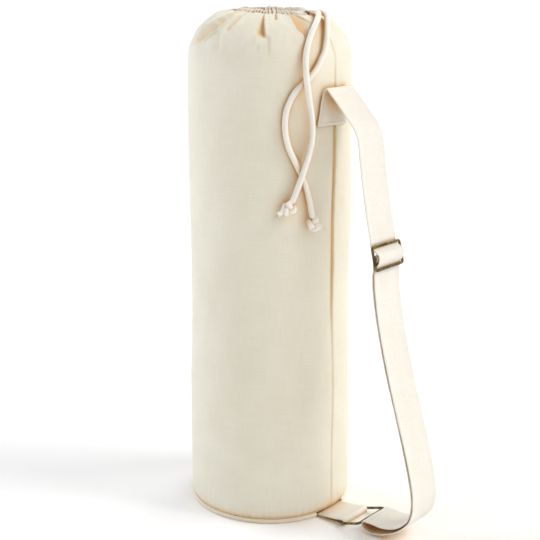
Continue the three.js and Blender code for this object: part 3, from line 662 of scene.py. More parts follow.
def fold_at(azimuth, share):
    depth = np.zeros(np.broadcast(azimuth, share).shape)
    for top, foot, start, end, deepest, amount, left, right in FOLDS:
        along, offset, inside = along_fold(azimuth, share, top, foot, start, end)
        width = np.where(offset < 0, left, right) * (1.1 - 0.6 * along)
        across = 1 - np.minimum(1, np.abs(offset) / np.maximum(width, 0.5))
        lengthwise = np.where(along < deepest, along / deepest, (1 - along) / (1 - deepest))
        crisp = 0.55 * smooth(across) + 0.45 * across ** 1.5
        depth += np.where(inside, amount * FOLD_DEPTH * crisp * smooth(lengthwise), 0)
    return depth


def crease_at(azimuth, share):
    depth = np.zeros(np.broadcast(azimuth, share).shape)
    for top, foot, start, end, amount, width in CREASES:
        along, offset, inside = along_fold(azimuth, share, top, foot, start, end)
        spread = width * (1.6 - 0.7 * along)
        across = 1 - np.minimum(1, np.abs(offset) / np.maximum(spread, 0.3))
        ease = smooth(along / 0.35) * smooth((1 - along) / 0.12)
        depth += np.where(inside, amount * across ** 1.6 * ease, 0)
    return depth


def drape_at(azimuth, share):
    """Depth of the large folds in front and how much painted shade shows in them, 0 to 1."""
    depth = np.zeros(np.broadcast(azimuth, share).shape)
    drape_shade = np.zeros(depth.shape)
    for (amount, left_power, right_power, left_lip, right_lip), rows in DRAPES:
        table = np.array(rows)
        centre, deep, left, right = [
            read_table(table[:, 0], table[:, column], share) for column in range(1, 5)
        ]
        offset = turn_between(azimuth, centre)
        inside = (share >= table[0, 0]) & (share <= table[-1, 0])
        flank = np.where(
            offset < 0,
            1 - np.clip(-offset / left, 0, 1) ** left_power,
            1 - np.clip(offset / right, 0, 1) ** right_power,
        )
        ridge = right_lip * np.exp(-((offset - right - 0.8) / 1.3) ** 2)
        ridge += left_lip * np.exp(-((offset + left + 0.8) / 1.3) ** 2)
        weight = np.where(inside, np.clip(deep / 2.5, 0, 1), 0)
        depth += np.where(inside, deep * flank, 0) - ridge * weight
        # Painted shade in the fold's hollow, strongest at its line and gone at its edges
        drape_shade = np.maximum(drape_shade, amount * flank * weight)
    return depth, drape_shade


def seam_middle(height):
    """1 where the seam stands out most, down to 0 in the lower third and at the top."""
    return smooth((height - SEAM_FROM) / 120) * smooth((SEAM_TO - height) / 40)


def seam_at(azimuth, height):
    """The felled side seam: a low ridge to the right of a groove."""
    offset = turn_between(azimuth, 0)
    ridge = np.where(offset > 0, np.exp(-offset / 3.4), np.exp(offset / 0.45))
    groove = 1.3 * np.exp(-((offset + 1.15) / 0.75) ** 2) + 0.5 * np.exp(-((offset + 2.2) / 3.0) ** 2)
    pucker = 0.12 * np.sin(height / 4.6 + 2 * np.sin(height / 37))
    strong = 0.55 + 0.75 * seam_middle(height)
    return SEAM_RISE * strong * (1.25 * ridge * (1 + pucker) - groove)


def cloth_relief(azimuth, height):
    """The tube's soft unevenness, calm at both ends."""
    broad = ripples(azimuth, height, 7, (2, 6), (260, 620), 3) * 0.55
    middle = ripples(azimuth, height, 14, (5, 16), (70, 190), 4) * 0.22
    small = ripples(azimuth, height, 22, (20, 48), (26, 70), 5) * 0.06
    near_base = np.exp(-np.maximum(height - 8, 0) / 16)
    pucker = ripples(azimuth, height, 10, (46, 84), (60, 200), 6) * 0.35 * near_base
    return (broad + middle) * smooth((height - 8) / 60) + small + pucker


DOME_END = math.radians(82)
DOME_LENGTH = 118.0
SEAM_SHADE_AZIMUTH = -0.643
# Where beside the seam the painted shade of its groove lies, and how wide it is, in degrees
SEAM_SHADE_WIDTH = 0.3


def dome_point(azimuth, share, inset):
    t = share * DOME_END
    edge = MOUTH_RADIUS * mouth_at(azimuth, 1)
    foot = tube_radius(SHOULDER_HEIGHT)
    inner = (edge - foot * math.cos(DOME_END)) / (1 - math.cos(DOME_END))
    rise = SHOULDER_RISE * mouth_at(azimuth, 2) / math.sin(DOME_END)
    radius = inner + (foot - inner) * np.cos(t)
    height = SHOULDER_HEIGHT + rise * np.sin(t)
    slope_out = rise * np.cos(t)
    slope_up = (foot - inner) * np.sin(t)
    size = np.hypot(slope_out, slope_up)
    puff, depth, start = pleats_at(azimuth)
    fade = smooth((share - start) / (1.0 - start)) ** 1.3
    gathered = gather_at(azimuth) * depth * fade * (3.0 * puff - 1.8)
    pinch = 1.4 * smooth((share - 0.94) / 0.06)
    soft = ripples(azimuth, share * 110, 12, (8, 26), (40, 90), 8) * 0.4 * smooth(share / 0.2)
    relief = gathered + soft - pinch + cloth_relief(azimuth, height) * smooth(1 - share / 0.4)
    relief = relief + seam_at(azimuth, height) * (1 - share) ** 0.7
    drape, _ = drape_at(azimuth, share)
    out = relief - fold_at(azimuth, share) - crease_at(azimuth, share) - drape - inset
    return polar(azimuth, radius + slope_out / size * out, height + slope_up / size * out)


def tube_point(azimuth, height, inset):
    turn_in = 1.6 * (1 - smooth((height - PIPING_HEIGHT) / 7)) ** 2
    radius = tube_radius(height) + cloth_relief(azimuth, height) + seam_at(azimuth, height)
    return polar(azimuth, radius - turn_in - inset, height)


def make_body():
    bottom = PIPING_HEIGHT + CLEARANCE
    low = bottom + np.array([0, 0.5, 1.2, 2.2, 3.4, 5, 7, 9.5, 13])
    heights = np.concatenate([low, np.linspace(24, SHOULDER_HEIGHT, 54, endpoint=False)])
    shares = np.concatenate([np.linspace(0, 0.8, 56, endpoint=False), np.linspace(0.8, 1, 24)])
    inner_heights = heights[::6]
    inner_shares = shares[::5]
    azimuth = around[None, :]
    outside = np.concatenate([
        tube_point(azimuth, heights[:, None], 0), dome_point(azimuth, shares[:, None], 0),
    ])
    inside = np.concatenate([
        tube_point(azimuth, inner_heights[:, None], CANVAS),
        dome_point(azimuth, np.append(inner_shares, 1.0)[:, None], CANVAS),
    ])[::-1]
    points = np.concatenate([outside, inside])
    up = np.concatenate([heights, SHOULDER_HEIGHT + shares * DOME_LENGTH])
    down = np.concatenate([inner_heights, SHOULDER_HEIGHT + np.append(inner_shares, 1.0) * DOME_LENGTH])
    along = np.concatenate([up, down[::-1] + 3.0, [bottom]])
    cloth = cloth_map(wrap_lengths(COLUMNS, BODY_RADIUS), along)
    # Map "folds": painted shade in the seam's groove on the tube, and in the large front folds on the dome
    closed_around = np.append(around, 360.0)[None, :]
    groove = np.exp(-((turn_between(closed_around, 0) - SEAM_SHADE_AZIMUTH) / SEAM_SHADE_WIDTH) ** 2)
    _, drape_shade = drape_at(closed_around, shares[:, None])
    shade = np.zeros(cloth.shape)
    shade[:len(heights), :, 0] = 1.3 * (0.3 + 0.7 * seam_middle(heights[:, None])) * groove
    shade[len(heights):len(heights) + len(shares), :, 0] = drape_shade
    piece = grid_mesh("canvas_body", points, cloth, canvas_cloth, close_rows=True, folds=shade)
    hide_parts("bag_body")
    return piece


# Hem

CHANNEL_HEIGHT = BAG_HEIGHT - CORD_RADIUS - CORD_PLAY - CANVAS - 3
LIFTED_AZIMUTH = 132
SLIT_AZIMUTH = 20.5
SLIT_LEFT = 18
SLIT_RIGHT = 11
SLIT_HEIGHT = 614.4
SLIT_OPENING = 3.9
SLIT_LIFT = 1.4


def hem_section(azimuth, angle, thickness):
    puff, depth, _ = pleats_at(azimuth)
    amount = gather_at(azimuth) * depth
    skin = CORD_RADIUS + CORD_PLAY + CANVAS + amount * (3.6 * puff - 1.2) + 0.6
    ripple = ripples(azimuth, angle * 0.1, 6, (60, 110), (8, 30), 9) * 0.25 * gather_at(azimuth)
    radius = MOUTH_RADIUS * mouth_at(azimuth, 3)
    bump = 1.7 * np.exp(-(turn_between(azimuth, LIFTED_AZIMUTH) / 9) ** 2)
    flat = 1.2 * (1 - mouth_at(azimuth, 4)) * smooth((angle - 20) / 60)
    reach = skin + ripple + bump - thickness - flat
    lean = np.radians(angle)
    return polar(azimuth, radius + reach * np.cos(lean), CHANNEL_HEIGHT + reach * np.sin(lean))


def make_hem():
    azimuth = np.arange(HEM_COLUMNS)[None, :] * 360 / HEM_COLUMNS
    start = dome_point(azimuth, np.array([[1.0]]), -0.2) + [0, 0, CLEARANCE]
    inner_start = dome_point(azimuth, np.array([[1.0]]), CANVAS - 0.4) + [0, 0, CLEARANCE]
    arc = np.linspace(8, 200, 22)[:, None]
    outer = hem_section(azimuth, arc, 0)
    inner = hem_section(azimuth, arc, CANVAS * 0.8)[::-1]
    points = np.concatenate([start, outer, inner, inner_start])
    along = run_along(points[:, 0])
    cloth = cloth_map(wrap_lengths(HEM_COLUMNS, BODY_RADIUS), np.append(along, along[-1] + 2))
    closed_around = np.append(azimuth[0], 360.0)
    # Map "folds": painted shade in the valleys between the pleats, less where the mouth is not gathered
    puff, depth, _ = pleats_at(closed_around)
    shade = np.zeros(cloth.shape)
    shade[..., 0] = np.clip(1.15 - 1.7 * puff, 0, 1) * depth * mouth_at(closed_around, 4)
    piece = grid_mesh("gathered_hem", points, cloth, hem_cloth, close_rows=True, folds=shade)
    cut_slit(piece)
    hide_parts("drawstring_hem")
    return piece


def cut_slit(piece):
    """Cuts the cord's slit, a lens with a long thin left corner, and deletes the cutter again."""
    bpy.ops.mesh.primitive_uv_sphere_add(segments=64, ring_count=32, radius=1)
    cutter = bpy.context.object
    for vertex in cutter.data.vertices:
        out, along, up = vertex.co
        reach = SLIT_LEFT if along < 0 else SLIT_RIGHT
        round_share = math.sqrt(max(0.0, 1 - along ** 2)) or 1.0
        at_cords = math.sqrt(max(0.0, 1 - (1.8 * along) ** 2))
        pointed = max(at_cords, 0.3 * (1 - abs(along)) ** 0.5) / round_share if along < 0 else 1.0
        place = polar(
            SLIT_AZIMUTH + reach * along,
            MOUTH_RADIUS * mouth_at(SLIT_AZIMUTH, 3) + 7.5 + 8 * out,
            SLIT_HEIGHT + SLIT_OPENING * up * pointed + SLIT_LIFT * max(0, -along),
        )
        vertex.co = Vector(place * MM)
    modifier = piece.modifiers.new("slit", "BOOLEAN")
    modifier.operation = "DIFFERENCE"
    modifier.solver = "EXACT"
    modifier.object = cutter
    apply_modifiers(piece)
    bpy.data.objects.remove(cutter)


def apply_modifiers(piece):
    bpy.context.view_layer.update()
    graph = bpy.context.evaluated_depsgraph_get()
    fresh = bpy.data.meshes.new_from_object(piece.evaluated_get(graph))
    piece.modifiers.clear()
    old = piece.data
    piece.data = fresh
    bpy.data.meshes.remove(old)


# Base

RIM_INSIDE = float(tube_radius(0)) + CLEARANCE - PIPING_THICKNESS
TAB_ANGLE = math.degrees(math.asin((HALF_WEBBING + CLEARANCE) / RIM_INSIDE))
PANEL_COLUMNS = 180
RIM_SIDES = 20


def make_panel():
    panel_radius = RIM_INSIDE - CLEARANCE
    azimuth = np.arange(PANEL_COLUMNS)[None, :] * 360 / PANEL_COLUMNS
    rings = [93, 95.5, panel_radius - 0.6, panel_radius]
    radii = np.concatenate([np.linspace(1, 90, 24), rings])[:, None]
    sag = 0.22 * ripples(azimuth, radii, 10, (2, 9), (40, 120), 12)
    top = polar(azimuth, radii, PANEL_THICKNESS - 0.1)
    low = polar(azimuth, radii, np.clip(0.25 + sag * smooth((panel_radius - radii) / 30), 0, 0.8))
    points = np.concatenate([low, top[::-1]])
    cloth = np.concatenate([points, points[:, :1]], 1)[..., :2]
    panel = grid_mesh("base_panel_cloth", points[:, ::-1], cloth[:, ::-1], canvas_cloth)
    cap_ends(panel, len(points), PANEL_COLUMNS, flat=False)
    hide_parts("base_panel")


def make_rim():
    middle = RIM_INSIDE + PIPING_THICKNESS / 2
    azimuth = np.linspace(TAB_ANGLE, 360 - TAB_ANGLE, 360)
    angle = np.arange(RIM_SIDES) * 2 * math.pi / RIM_SIDES
    folds = 1 + 0.05 * ripples(azimuth[:, None], 0, 8, (60, 120), (30, 90), 13)
    out = np.cos(angle)[None, :] * PIPING_THICKNESS / 2 * folds
    up = np.sin(angle)[None, :] * PIPING_HEIGHT / 2 * np.minimum(folds, 1.0)
    ring = polar(azimuth[:, None], middle + out, PIPING_HEIGHT / 2 + up)
    cloth = cloth_map(np.arange(RIM_SIDES + 1) * 0.8, np.radians(azimuth - TAB_ANGLE) * middle)
    rim = grid_mesh("rolled_rim", ring[:, ::-1], cloth, rim_cloth)
    cap_ends(rim, len(azimuth), RIM_SIDES)
    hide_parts("base_piping")


def make_rim_stitches():
    azimuth = np.linspace(TAB_ANGLE - 1, 361 - TAB_ANGLE, 620)
    height = np.full(azimuth.shape, PIPING_HEIGHT + 4.2)
    seam_line = tube_point(azimuth, height, 0)
    normals = polar(azimuth, 1.0, 0.0)
    line = stitches("rim_stitches", [(seam_line, normals)], 3.0, 1.0, 0.65, sink=0.12)


# Strap

CHORD_SAG = HALF_WEBBING ** 2 / (8 * BODY_RADIUS)
ANCHOR_X = float(tube_radius(ANCHOR_HEIGHT)) + SEAM_RISE + CHORD_SAG + CLEARANCE + HALF_THICKNESS
LAYER_STEP = WEBBING_THICKNESS + CLEARANCE
SLIDER_OUT, SLIDER_UP, SLIDER_TILT = 0.551, 0.6486, math.radians(-13.9)
SLIDER_X = ANCHOR_X + SLIDER_OUT * STRAP_REACH
SLIDER_Z = SLIDER_UP * ANCHOR_HEIGHT
BAR_OFFSET = SLIDER_HEIGHT / 2 - WIRE_RADIUS
BEHIND_BAR = WIRE_RADIUS + 2 * CLEARANCE + HALF_THICKNESS
OVER_LOOP = BEHIND_BAR + LAYER_STEP
RING_BAR_Z = WIRE_RADIUS + WEBBING_THICKNESS + 3 * CLEARANCE
RING_PITCH = math.asin(RING_LIFT / (RING_LENGTH - 2 * WIRE_RADIUS))
FAR_BAR_X = ANCHOR_X + STRAP_RUN[-1][0] * STRAP_REACH - RING_SEAT
RING_DISTANCE = FAR_BAR_X - (RING_LENGTH - 2 * WIRE_RADIUS) * math.cos(RING_PITCH)
HARDWARE_WIDTH = WEBBING_WIDTH + 2 * SIDE_PLAY + 4 * WIRE_RADIUS
SEWN_ROWS = 12
TAB_TOP_ROWS = 16


def in_slider(e, n):
    along_x = math.sin(SLIDER_TILT) * e + math.cos(SLIDER_TILT) * n
    along_z = math.cos(SLIDER_TILT) * e - math.sin(SLIDER_TILT) * n
    return np.array([SLIDER_X + along_x, SLIDER_Z + along_z])


def run_point(out, up):
    return np.array([ANCHOR_X + out * STRAP_REACH, up * ANCHOR_HEIGHT])


def smooth_path(points, steps):
    flat = np.asarray(points, float)
    line = catmull(np.column_stack([flat, np.zeros(len(flat))]), steps)
    return line[:, :2]


def sewn_rows():
    """The end that lies sewn against the body, from its lower edge up."""
    top = ANCHOR_HEIGHT - 3 * WEBBING_THICKNESS
    rows = []
    for share in np.linspace(0, 1, SEWN_ROWS):
        z = top - ANCHOR_LENGTH * (1 - share)
        x = float(tube_radius(z)) + ANCHOR_X - float(tube_radius(ANCHOR_HEIGHT))
        rows.append([x, z, 1, -ANCHOR_SKEW * (1 - share)])
    return rows


def fold_rows(start, end):
    """The fold at the top, from the sewn end over to the free run."""
    w = WEBBING_THICKNESS
    points = [
        start,
        [ANCHOR_X + 0.2 * w, ANCHOR_HEIGHT - 1.4 * w],
        [ANCHOR_X + 0.9 * w, ANCHOR_HEIGHT - 0.3 * w],
        [ANCHOR_X + 2.1 * w, ANCHOR_HEIGHT - 0.4 * w],
        end,
    ]
    line = smooth_path(points, 4)[1:-1]
    return [[x, z, 0.95 - 0.95 * i / len(line), 0] for i, (x, z) in enumerate(line)]


def slider_weave():
    """The outer layer's way through the slider, over its middle bar."""
    return [
        in_slider(BAR_OFFSET + 3 * WEBBING_THICKNESS, -0.8 * BEHIND_BAR),
        in_slider(BAR_OFFSET, -BEHIND_BAR),
        in_slider(BAR_OFFSET * 0.58, 0.2 * OVER_LOOP),
        in_slider(BAR_OFFSET * 0.25, 0.93 * OVER_LOOP),
        in_slider(-BAR_OFFSET * 0.1, OVER_LOOP),
        in_slider(-BAR_OFFSET * 0.42, 0.6 * OVER_LOOP),
        in_slider(-BAR_OFFSET * 0.75, -0.35 * BEHIND_BAR),
        in_slider(-BAR_OFFSET, -BEHIND_BAR),
    ]


def inner_layer(outer, gaps, before):
    """The layer that comes back from the ring, beside the outer one."""
    inner = []
    for place, gap in enumerate(gaps):
        after = outer[min(place + 1, len(outer) - 1)]
        along = (after - before) / np.linalg.norm(after - before)
        inner.append(outer[place] + np.array([along[1], -along[0]]) * (gap * WEBBING_THICKNESS))
        before = outer[place]
    return inner


def ring_loop(start, end):
    """Half a turn round the ring's far bar."""
    middle = (start + end) / 2
    spoke = start - middle
    loop = []
    for turned in -np.pi * np.arange(1, 12) / 12:
        cos, sin = math.cos(turned), math.sin(turned)
        loop.append(middle + [spoke[0] * cos - spoke[1] * sin, spoke[0] * sin + spoke[1] * cos])
    return loop


def strap_path():
    """Rows of x, z, bend, shift along the strap, as the CAD part has it, in finer steps."""
    single = [run_point(out, up) for out, up, gap in STRAP_RUN if gap == 0]
    doubled = [run_point(out, up) for out, up, gap in STRAP_RUN if gap > 0]
    gaps = [gap for _, _, gap in STRAP_RUN if gap > 0]
    sewn = sewn_rows()
    weave = slider_weave()
    outer = smooth_path(single + weave + doubled, 7)
    inner = inner_layer(doubled, gaps, weave[-1])
    into_slider = [
        in_slider(-BAR_OFFSET, -BEHIND_BAR - LAYER_STEP),
        in_slider(-BAR_OFFSET * 0.55, -BEHIND_BAR - 0.75 * LAYER_STEP),
    ]
    back = smooth_path(inner[::-1] + into_slider, 6)
    half_turn = math.pi * (1 - np.arange(13) / 12)
    wrap = [in_slider(BEHIND_BAR * math.sin(a), BEHIND_BAR * math.cos(a)) for a in half_turn]
    tail = [in_slider(-0.3 * BAR_OFFSET, 0.5 * HALF_THICKNESS)]
    free = [*outer, *ring_loop(doubled[-1], inner[-1]), *back, *wrap, *tail]
    rows = sewn + fold_rows(sewn[-1][:2], single[0])
    return np.array(rows + [[*point, 0, 0] for point in free])


# Half a section across the webbing, from edge to edge: share of the half width, share of the
# half thickness
WEBBING_SECTION = np.array([
    [-1, 0.18], [-0.985, 0.6], [-0.95, 0.95], [-0.88, 1], [-0.7, 0.97],
    [-0.45, 0.97], [-0.2, 0.97], [0, 0.97], [0.2, 0.97], [0.45, 0.97],
    [0.7, 0.97], [0.88, 1], [0.95, 0.95], [0.985, 0.6], [1, 0.18],
])


def webbing_strip(name, path):
    """A strip of webbing with rounded edges along rows of x, z, bend and shift."""
    x, z, bend, shift = path.T
    along = np.gradient(path[:, :2], axis=0)
    along /= np.linalg.norm(along, axis=1)[:, None]
    normal = np.stack([along[:, 1], -along[:, 0]], -1)
    half, thick = WEBBING_SECTION.T
    shares = np.concatenate([half, half[::-1]])
    sides = np.concatenate([thick, -thick[::-1]]) * HALF_THICKNESS
    y = shares[None, :] * HALF_WEBBING + shift[:, None]
    run = run_along(path[:, :2])
    wave = 0.25 * np.sin(run / 23 + 1.3 * np.sin(run / 61))[:, None] * np.abs(shares)[None, :] ** 4
    edge = y + 0.18 * np.sin(run[:, None] / 3.1 + shares[None, :] * 9) * (np.abs(shares)[None, :] > 0.9)
    sag = x[:, None] - np.sqrt(np.maximum(x[:, None] ** 2 - y ** 2, 0))
    lift = sides[None, :] + (1 - bend)[:, None] * wave
    px = x[:, None] + normal[:, :1] * lift - bend[:, None] * sag
    pz = z[:, None] + normal[:, 1:] * lift
    points = np.stack([px, edge, np.maximum(pz, 0.25)], -1)
    cloth = cloth_map(np.append(shares * HALF_WEBBING + 60 * (sides < 0), -HALF_WEBBING), run)
    piece = grid_mesh(name, points[:, ::-1], cloth[:, ::-1], webbing_cloth)
    cap_ends(piece, len(path), len(shares))
    return piece


def make_strap():
    path = strap_path()
    strap = webbing_strip("webbing_strap", path)
    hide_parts("shoulder_strap")
    return path


def make_tab():
    """The tab in the base seam, out to the ring's near bar, round it and back on top."""
    low_layer = CLEARANCE + HALF_THICKNESS
    top_layer = low_layer + LAYER_STEP
    wrap_radius = RING_BAR_Z - low_layer
    wrap_top = RING_BAR_Z + wrap_radius
    rows = [[x, low_layer, 0, 0] for x in np.linspace(RIM_INSIDE, RING_DISTANCE, 14)]
    for angle in np.pi * np.arange(1, 13) / 12 - np.pi / 2:
        x = RING_DISTANCE + wrap_radius * math.cos(angle)
        rows.append([x, RING_BAR_Z + wrap_radius * math.sin(angle), 0, 0])
    for share in np.linspace(0.93, 0, TAB_TOP_ROWS):
        z = top_layer + (wrap_top - top_layer) * share ** 1.6
        rows.append([RIM_INSIDE + (RING_DISTANCE - RIM_INSIDE) * share, z, 0, 0])
    path = np.array(rows)
    tab = webbing_strip("webbing_tab", path)
    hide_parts("base_tab")
    return path


def wire_frame(name, length, width, bar):
    """A closed frame of round wire in its own XY plane, long side along Y, with or without a
    middle bar along Y."""
    half_length = length / 2 - WIRE_RADIUS
    half_width = width / 2 - WIRE_RADIUS
    line = []
    corners = (
        (half_length, half_width, 0), (-half_length, half_width, 90),
        (-half_length, -half_width, 180), (half_length, -half_width, 270),
    )
    for x, y, start in corners:
        for angle in np.radians(start + np.linspace(0, 90, 9)):
            cx = x - math.copysign(CORNER_RADIUS, x)
            cy = y - math.copysign(CORNER_RADIUS, y)
            line.append([cx + CORNER_RADIUS * math.cos(angle), cy + CORNER_RADIUS * math.sin(angle), 0])
    line = np.array(line)
    closed = np.vstack([line, line[:1]])
    run = run_along(closed)
    places = np.linspace(0, run[-1], 160, endpoint=False)
    even = points_at(places, run, closed)
    piece = tube(name, even, places, WIRE_RADIUS, brass, 18, closed=True)
    if bar:
        stretch = np.array([[0, y, 0] for y in np.linspace(-half_width, half_width, 30)])
        rod = tube(f"{name}_bar", stretch, stretch[:, 1] + half_width, WIRE_RADIUS * 0.98, brass, 18)
        return [piece, rod]
    return [piece]


def set_place(pieces, tilt, x, z):
    """Turns meshes about Y by tilt and moves them, in their vertices."""
    cos, sin = math.cos(tilt), math.sin(tilt)
    for piece in pieces:
        for vertex in piece.data.vertices:
            px, py, pz = vertex.co
            vertex.co = (cos * px + sin * pz + x * MM, py, -sin * px + cos * pz + z * MM)
        piece.data.update()


def make_hardware():
    slider = wire_frame("slider_frame", SLIDER_HEIGHT, HARDWARE_WIDTH, True)
    set_place(slider, math.pi / 2 + SLIDER_TILT, SLIDER_X, SLIDER_Z)
    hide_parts("strap_slider")
    ring = wire_frame("foot_ring", RING_LENGTH, HARDWARE_WIDTH, False)
    half = RING_LENGTH / 2 - WIRE_RADIUS
    ring_x = RING_DISTANCE + half * math.cos(RING_PITCH)
    set_place(ring, -RING_PITCH, ring_x, RING_BAR_Z + half * math.sin(RING_PITCH))
    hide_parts("strap_ring")


# Drawcord

KNOT_CORD_RADIUS = 3.05
KNOT_SPREAD = 2.05
KNOT_DEPTH = 2.7
FRAY_THREADS = 22
FRAY_RINGS = 7
FRAY_SIDES = 5


def braid(angle, run):
    """Two sets of strands that cross: the skin of a round braid."""
    one = np.abs(np.sin(3 * angle + run * 0.62))
    other = np.abs(np.sin(3 * angle - run * 0.62))
    return 0.34 * np.maximum(one, other) - 0.34


def knot_frame(strand, seat, sideways, down):
    end = polar(*strand[-1])
    before = polar(*strand[-2])
    inwards = (end - before) / np.linalg.norm(end - before)
    place = end + inwards * (KNOT_RADIUS * seat + CLEARANCE)
    around_bag = polar(strand[-1][0] + 90, 1.0, 0.0)
    tail = around_bag * sideways + np.array([0, 0, -down])
    return end, inwards, place, tail / np.linalg.norm(tail)


def knot_line(strand, seat, sideways, down, reach):
    """An overhand knot, drawn tight, from the strand's end round to its tail."""
    end, inwards, place, tail = knot_frame(strand, seat, sideways, down)
    outward = polar(strand[-1][0], 1.0, 0.0)
    upward = -inwards
    lateral = np.cross(upward, outward)
    lateral /= np.linalg.norm(lateral)
    outward = np.cross(lateral, upward)
    if lateral @ tail < 0:
        lateral = -lateral
    line = [end - inwards * 3, end - inwards * 0.5]
    for t in np.radians(np.linspace(75, 405, 23)):
        a = math.sin(t) + 2 * math.sin(2 * t)
        b = math.cos(t) - 2 * math.cos(2 * t)
        c = -math.sin(3 * t)
        line.append(place + KNOT_SPREAD * (a * lateral + b * upward) + KNOT_DEPTH * c * outward)
    line.append(place + tail * (reach + 2.0) + upward * 1.0)
    line.append(place + tail * (KNOT_RADIUS + reach))
    return np.array(line), tail


def make_cord(name, strand, sideways, down, seat, reach):
    points = polar(*np.array(strand, float).T)
    line, run = even_line(catmull(points, 12, alpha=0.5), 0.9)
    cord = tube(f"drawcord_{name}_strand", line, run, CORD_RADIUS, cord_cloth, 30, relief=braid)
    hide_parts(f"drawcord_{name}")
    route, tail = knot_line(strand, seat, sideways, down, reach)
    knot_path, knot_run = even_line(catmull(route, 8), 0.8)
    knot = tube(f"knot_{name}", knot_path, knot_run, KNOT_CORD_RADIUS, cord_cloth, 24, relief=braid)
    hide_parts(f"cord_knot_{name}")
    fray = make_fray(f"fray_{name}", knot_path[-1], tail, polar(strand[-1][0], 1.0, 0.0))


def make_fray(name, end, tail, outward):
    """The cut end's loose threads, two of them longer than the rest."""
    points, faces = [], []
    lateral = np.cross(tail, outward)
    for thread_number in range(FRAY_THREADS):
        spread = random.normal(0, 1, 2) * 1.1
        base = end - tail * 1.5 + lateral * spread[0] + outward * spread[1]
        lean = tail + 0.28 * (lateral * random.normal() + outward * random.normal()) + [0, 0, -0.15]
        lean /= np.linalg.norm(lean)
        length = random.uniform(3.5, 7.5)
        if thread_number < 2:
            length = 10.5
        rod = rod_faces(len(points), FRAY_RINGS, FRAY_SIDES)
        faces += [[face[0], *face[:0:-1]] for face in rod]
        for ring, share in enumerate(np.linspace(0, 1, FRAY_RINGS)):
            point = base + lean * length * share + [0, 0, -0.6 * (share * length / 5) ** 2]
            reach = 0.32 * (1 - 0.5 * ring / (FRAY_RINGS - 1))
            for angle in np.arange(FRAY_SIDES) * 2 * math.pi / FRAY_SIDES:
                points.append(point + reach * (math.cos(angle) * lateral + math.sin(angle) * outward))
    piece = raw_mesh(name, np.array(points), faces, thread)
    return piece


# Sewn lines

STITCH = {"length": 2.6, "gap": 0.9, "thickness": 0.6}
STITCH_LINE_POINTS = 40
PATCH_CORNERS = [(0.1, -0.86), (0.1, 0.86), (0.9, 0.86), (0.9, -0.86)]
TAB_STITCH_PLACES = (104.5, 108.0)


def patch_line(sewn, start, end):
    """A line on the sewn patch between two places, each a share along it and a share across."""
    t = np.linspace(0, 1, STITCH_LINE_POINTS)
    place = (start[0] + (end[0] - start[0]) * t) * (len(sewn) - 1)
    x, z, shift = [np.interp(place, np.arange(len(sewn)), sewn[:, column]) for column in (0, 1, 3)]
    y = (start[1] + (end[1] - start[1]) * t) * HALF_WEBBING + shift
    sag = x - np.sqrt(x ** 2 - y ** 2)
    points = np.stack([x - sag + HALF_THICKNESS, y, z], -1)
    normals = points * [1, 1, 0]
    return points, normals / np.linalg.norm(normals, axis=1)[:, None]


def make_sewing(path, tab_rows):
    """Stitching round the strap's sewn patch and across the tab."""
    corners = zip(PATCH_CORNERS, PATCH_CORNERS[1:] + PATCH_CORNERS[:1])
    lines = [patch_line(path[:SEWN_ROWS], start, end) for start, end in corners]
    stitches("strap_patch_stitches", lines, **STITCH)

    top = tab_rows[:-TAB_TOP_ROWS - 1:-1]
    y = np.linspace(-HALF_WEBBING * 0.9, HALF_WEBBING * 0.9, STITCH_LINE_POINTS)
    lines = []
    for x in TAB_STITCH_PLACES:
        z = np.interp(x, top[:, 0], top[:, 1]) + HALF_THICKNESS
        points = np.stack([np.full(y.shape, x), y, np.full(y.shape, z)], -1)
        lines.append((points, np.tile([0.0, 0.0, 1.0], (len(y), 1))))
    stitches("tab_stitches", lines, **STITCH)


# Studio

# The camera that the photo's outlines were fitted with: turn, pitch, lens and place in metres
CAMERA_AZIMUTH = math.radians(39.76)
CAMERA_PITCH = math.radians(14.86)
CAMERA_LENS = 78.45
CAMERA_PLACE = (0.9123, -1.0965, 0.6766)
FLOOR_REACH = 30

# name, azimuth, height above the floor, strength, softness, colour
SUNS = [
    ("right_sun", 30, 44, 1.6, 28, (1.0, 0.992, 0.975)),
    ("front_sun", -8, 40, 0.85, 60, (1.0, 0.985, 0.96)),
    ("back_sun", 95, 30, 1.0, 40, (1.0, 1.0, 1.0)),
    ("left_sun", -160, 32, 2.35, 60, (0.82, 0.89, 1.0)),
]


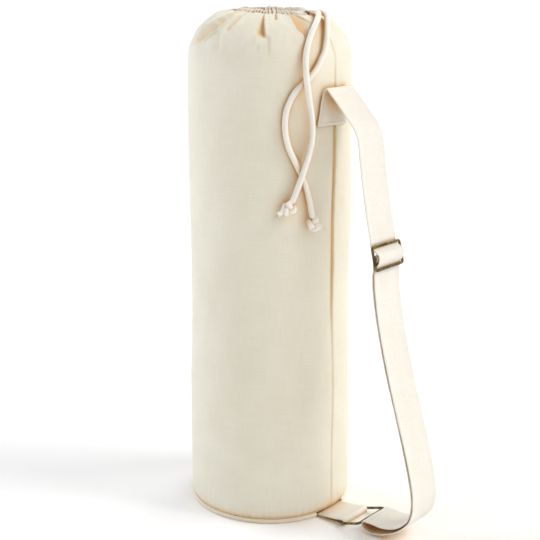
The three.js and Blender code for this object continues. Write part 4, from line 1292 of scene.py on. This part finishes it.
def make_camera():
    data = bpy.data.cameras.new("photo_camera")
    data.lens = CAMERA_LENS
    data.sensor_width = 36
    data.sensor_fit = "HORIZONTAL"
    data.clip_end = 100
    camera = add_object("photo_camera", data)
    camera.location = CAMERA_PLACE
    level = math.cos(CAMERA_PITCH)
    forward = Vector((
        -math.sin(CAMERA_AZIMUTH) * level, math.cos(CAMERA_AZIMUTH) * level, -math.sin(CAMERA_PITCH),
    ))
    camera.rotation_euler = forward.to_track_quat("-Z", "Y").to_euler()
    bpy.context.scene.camera = camera


def sun(name, azimuth, height, strength, softness, colour):
    """A soft distant light from an azimuth and a height above the floor, in degrees."""
    data = bpy.data.lights.new(name, "SUN")
    data.energy = strength
    data.angle = math.radians(softness)
    data.color = colour
    light = add_object(name, data)
    turn, lift = math.radians(azimuth), math.radians(height)
    towards = Vector((math.cos(turn) * math.cos(lift), math.sin(turn) * math.cos(lift), math.sin(lift)))
    light.location = towards * 3
    light.rotation_euler = (-towards).to_track_quat("-Z", "Y").to_euler()


def make_studio():
    floor = bpy.data.meshes.new("floor")
    corners = [(x * FLOOR_REACH, y * FLOOR_REACH, 0) for x, y in ((-1, -1), (1, -1), (1, 1), (-1, 1))]
    floor.from_pydata(corners, [], [(0, 1, 2, 3)])
    floor.materials.append(floor_material())
    piece = add_object("floor", floor)
    world = bpy.data.worlds.new("studio")
    world.use_nodes = True
    background = world.node_tree.nodes["Background"]
    background.inputs["Color"].default_value = (1.0, 0.93, 0.84, 1)
    background.inputs["Strength"].default_value = 0.2
    bpy.context.scene.world = world
    for row in SUNS:
        sun(*row)
    bpy.context.scene.view_settings.view_transform = "Standard"


make_camera()
make_cord("over", OVER_STRAND, -0.9, 0.43, 1.11, 7.0)
make_cord("under", UNDER_STRAND, 0.9, 0.43, 0.97, 4.0)
make_body()
make_hem()
make_panel()
make_rim()
make_rim_stitches()
strap_rows = make_strap()
tab_rows = make_tab()
make_hardware()
make_sewing(strap_rows, tab_rows)
hidden_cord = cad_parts["drawcord_in_hem"]
hidden_cord.data.materials.clear()
hidden_cord.data.materials.append(cord_cloth)
make_studio()
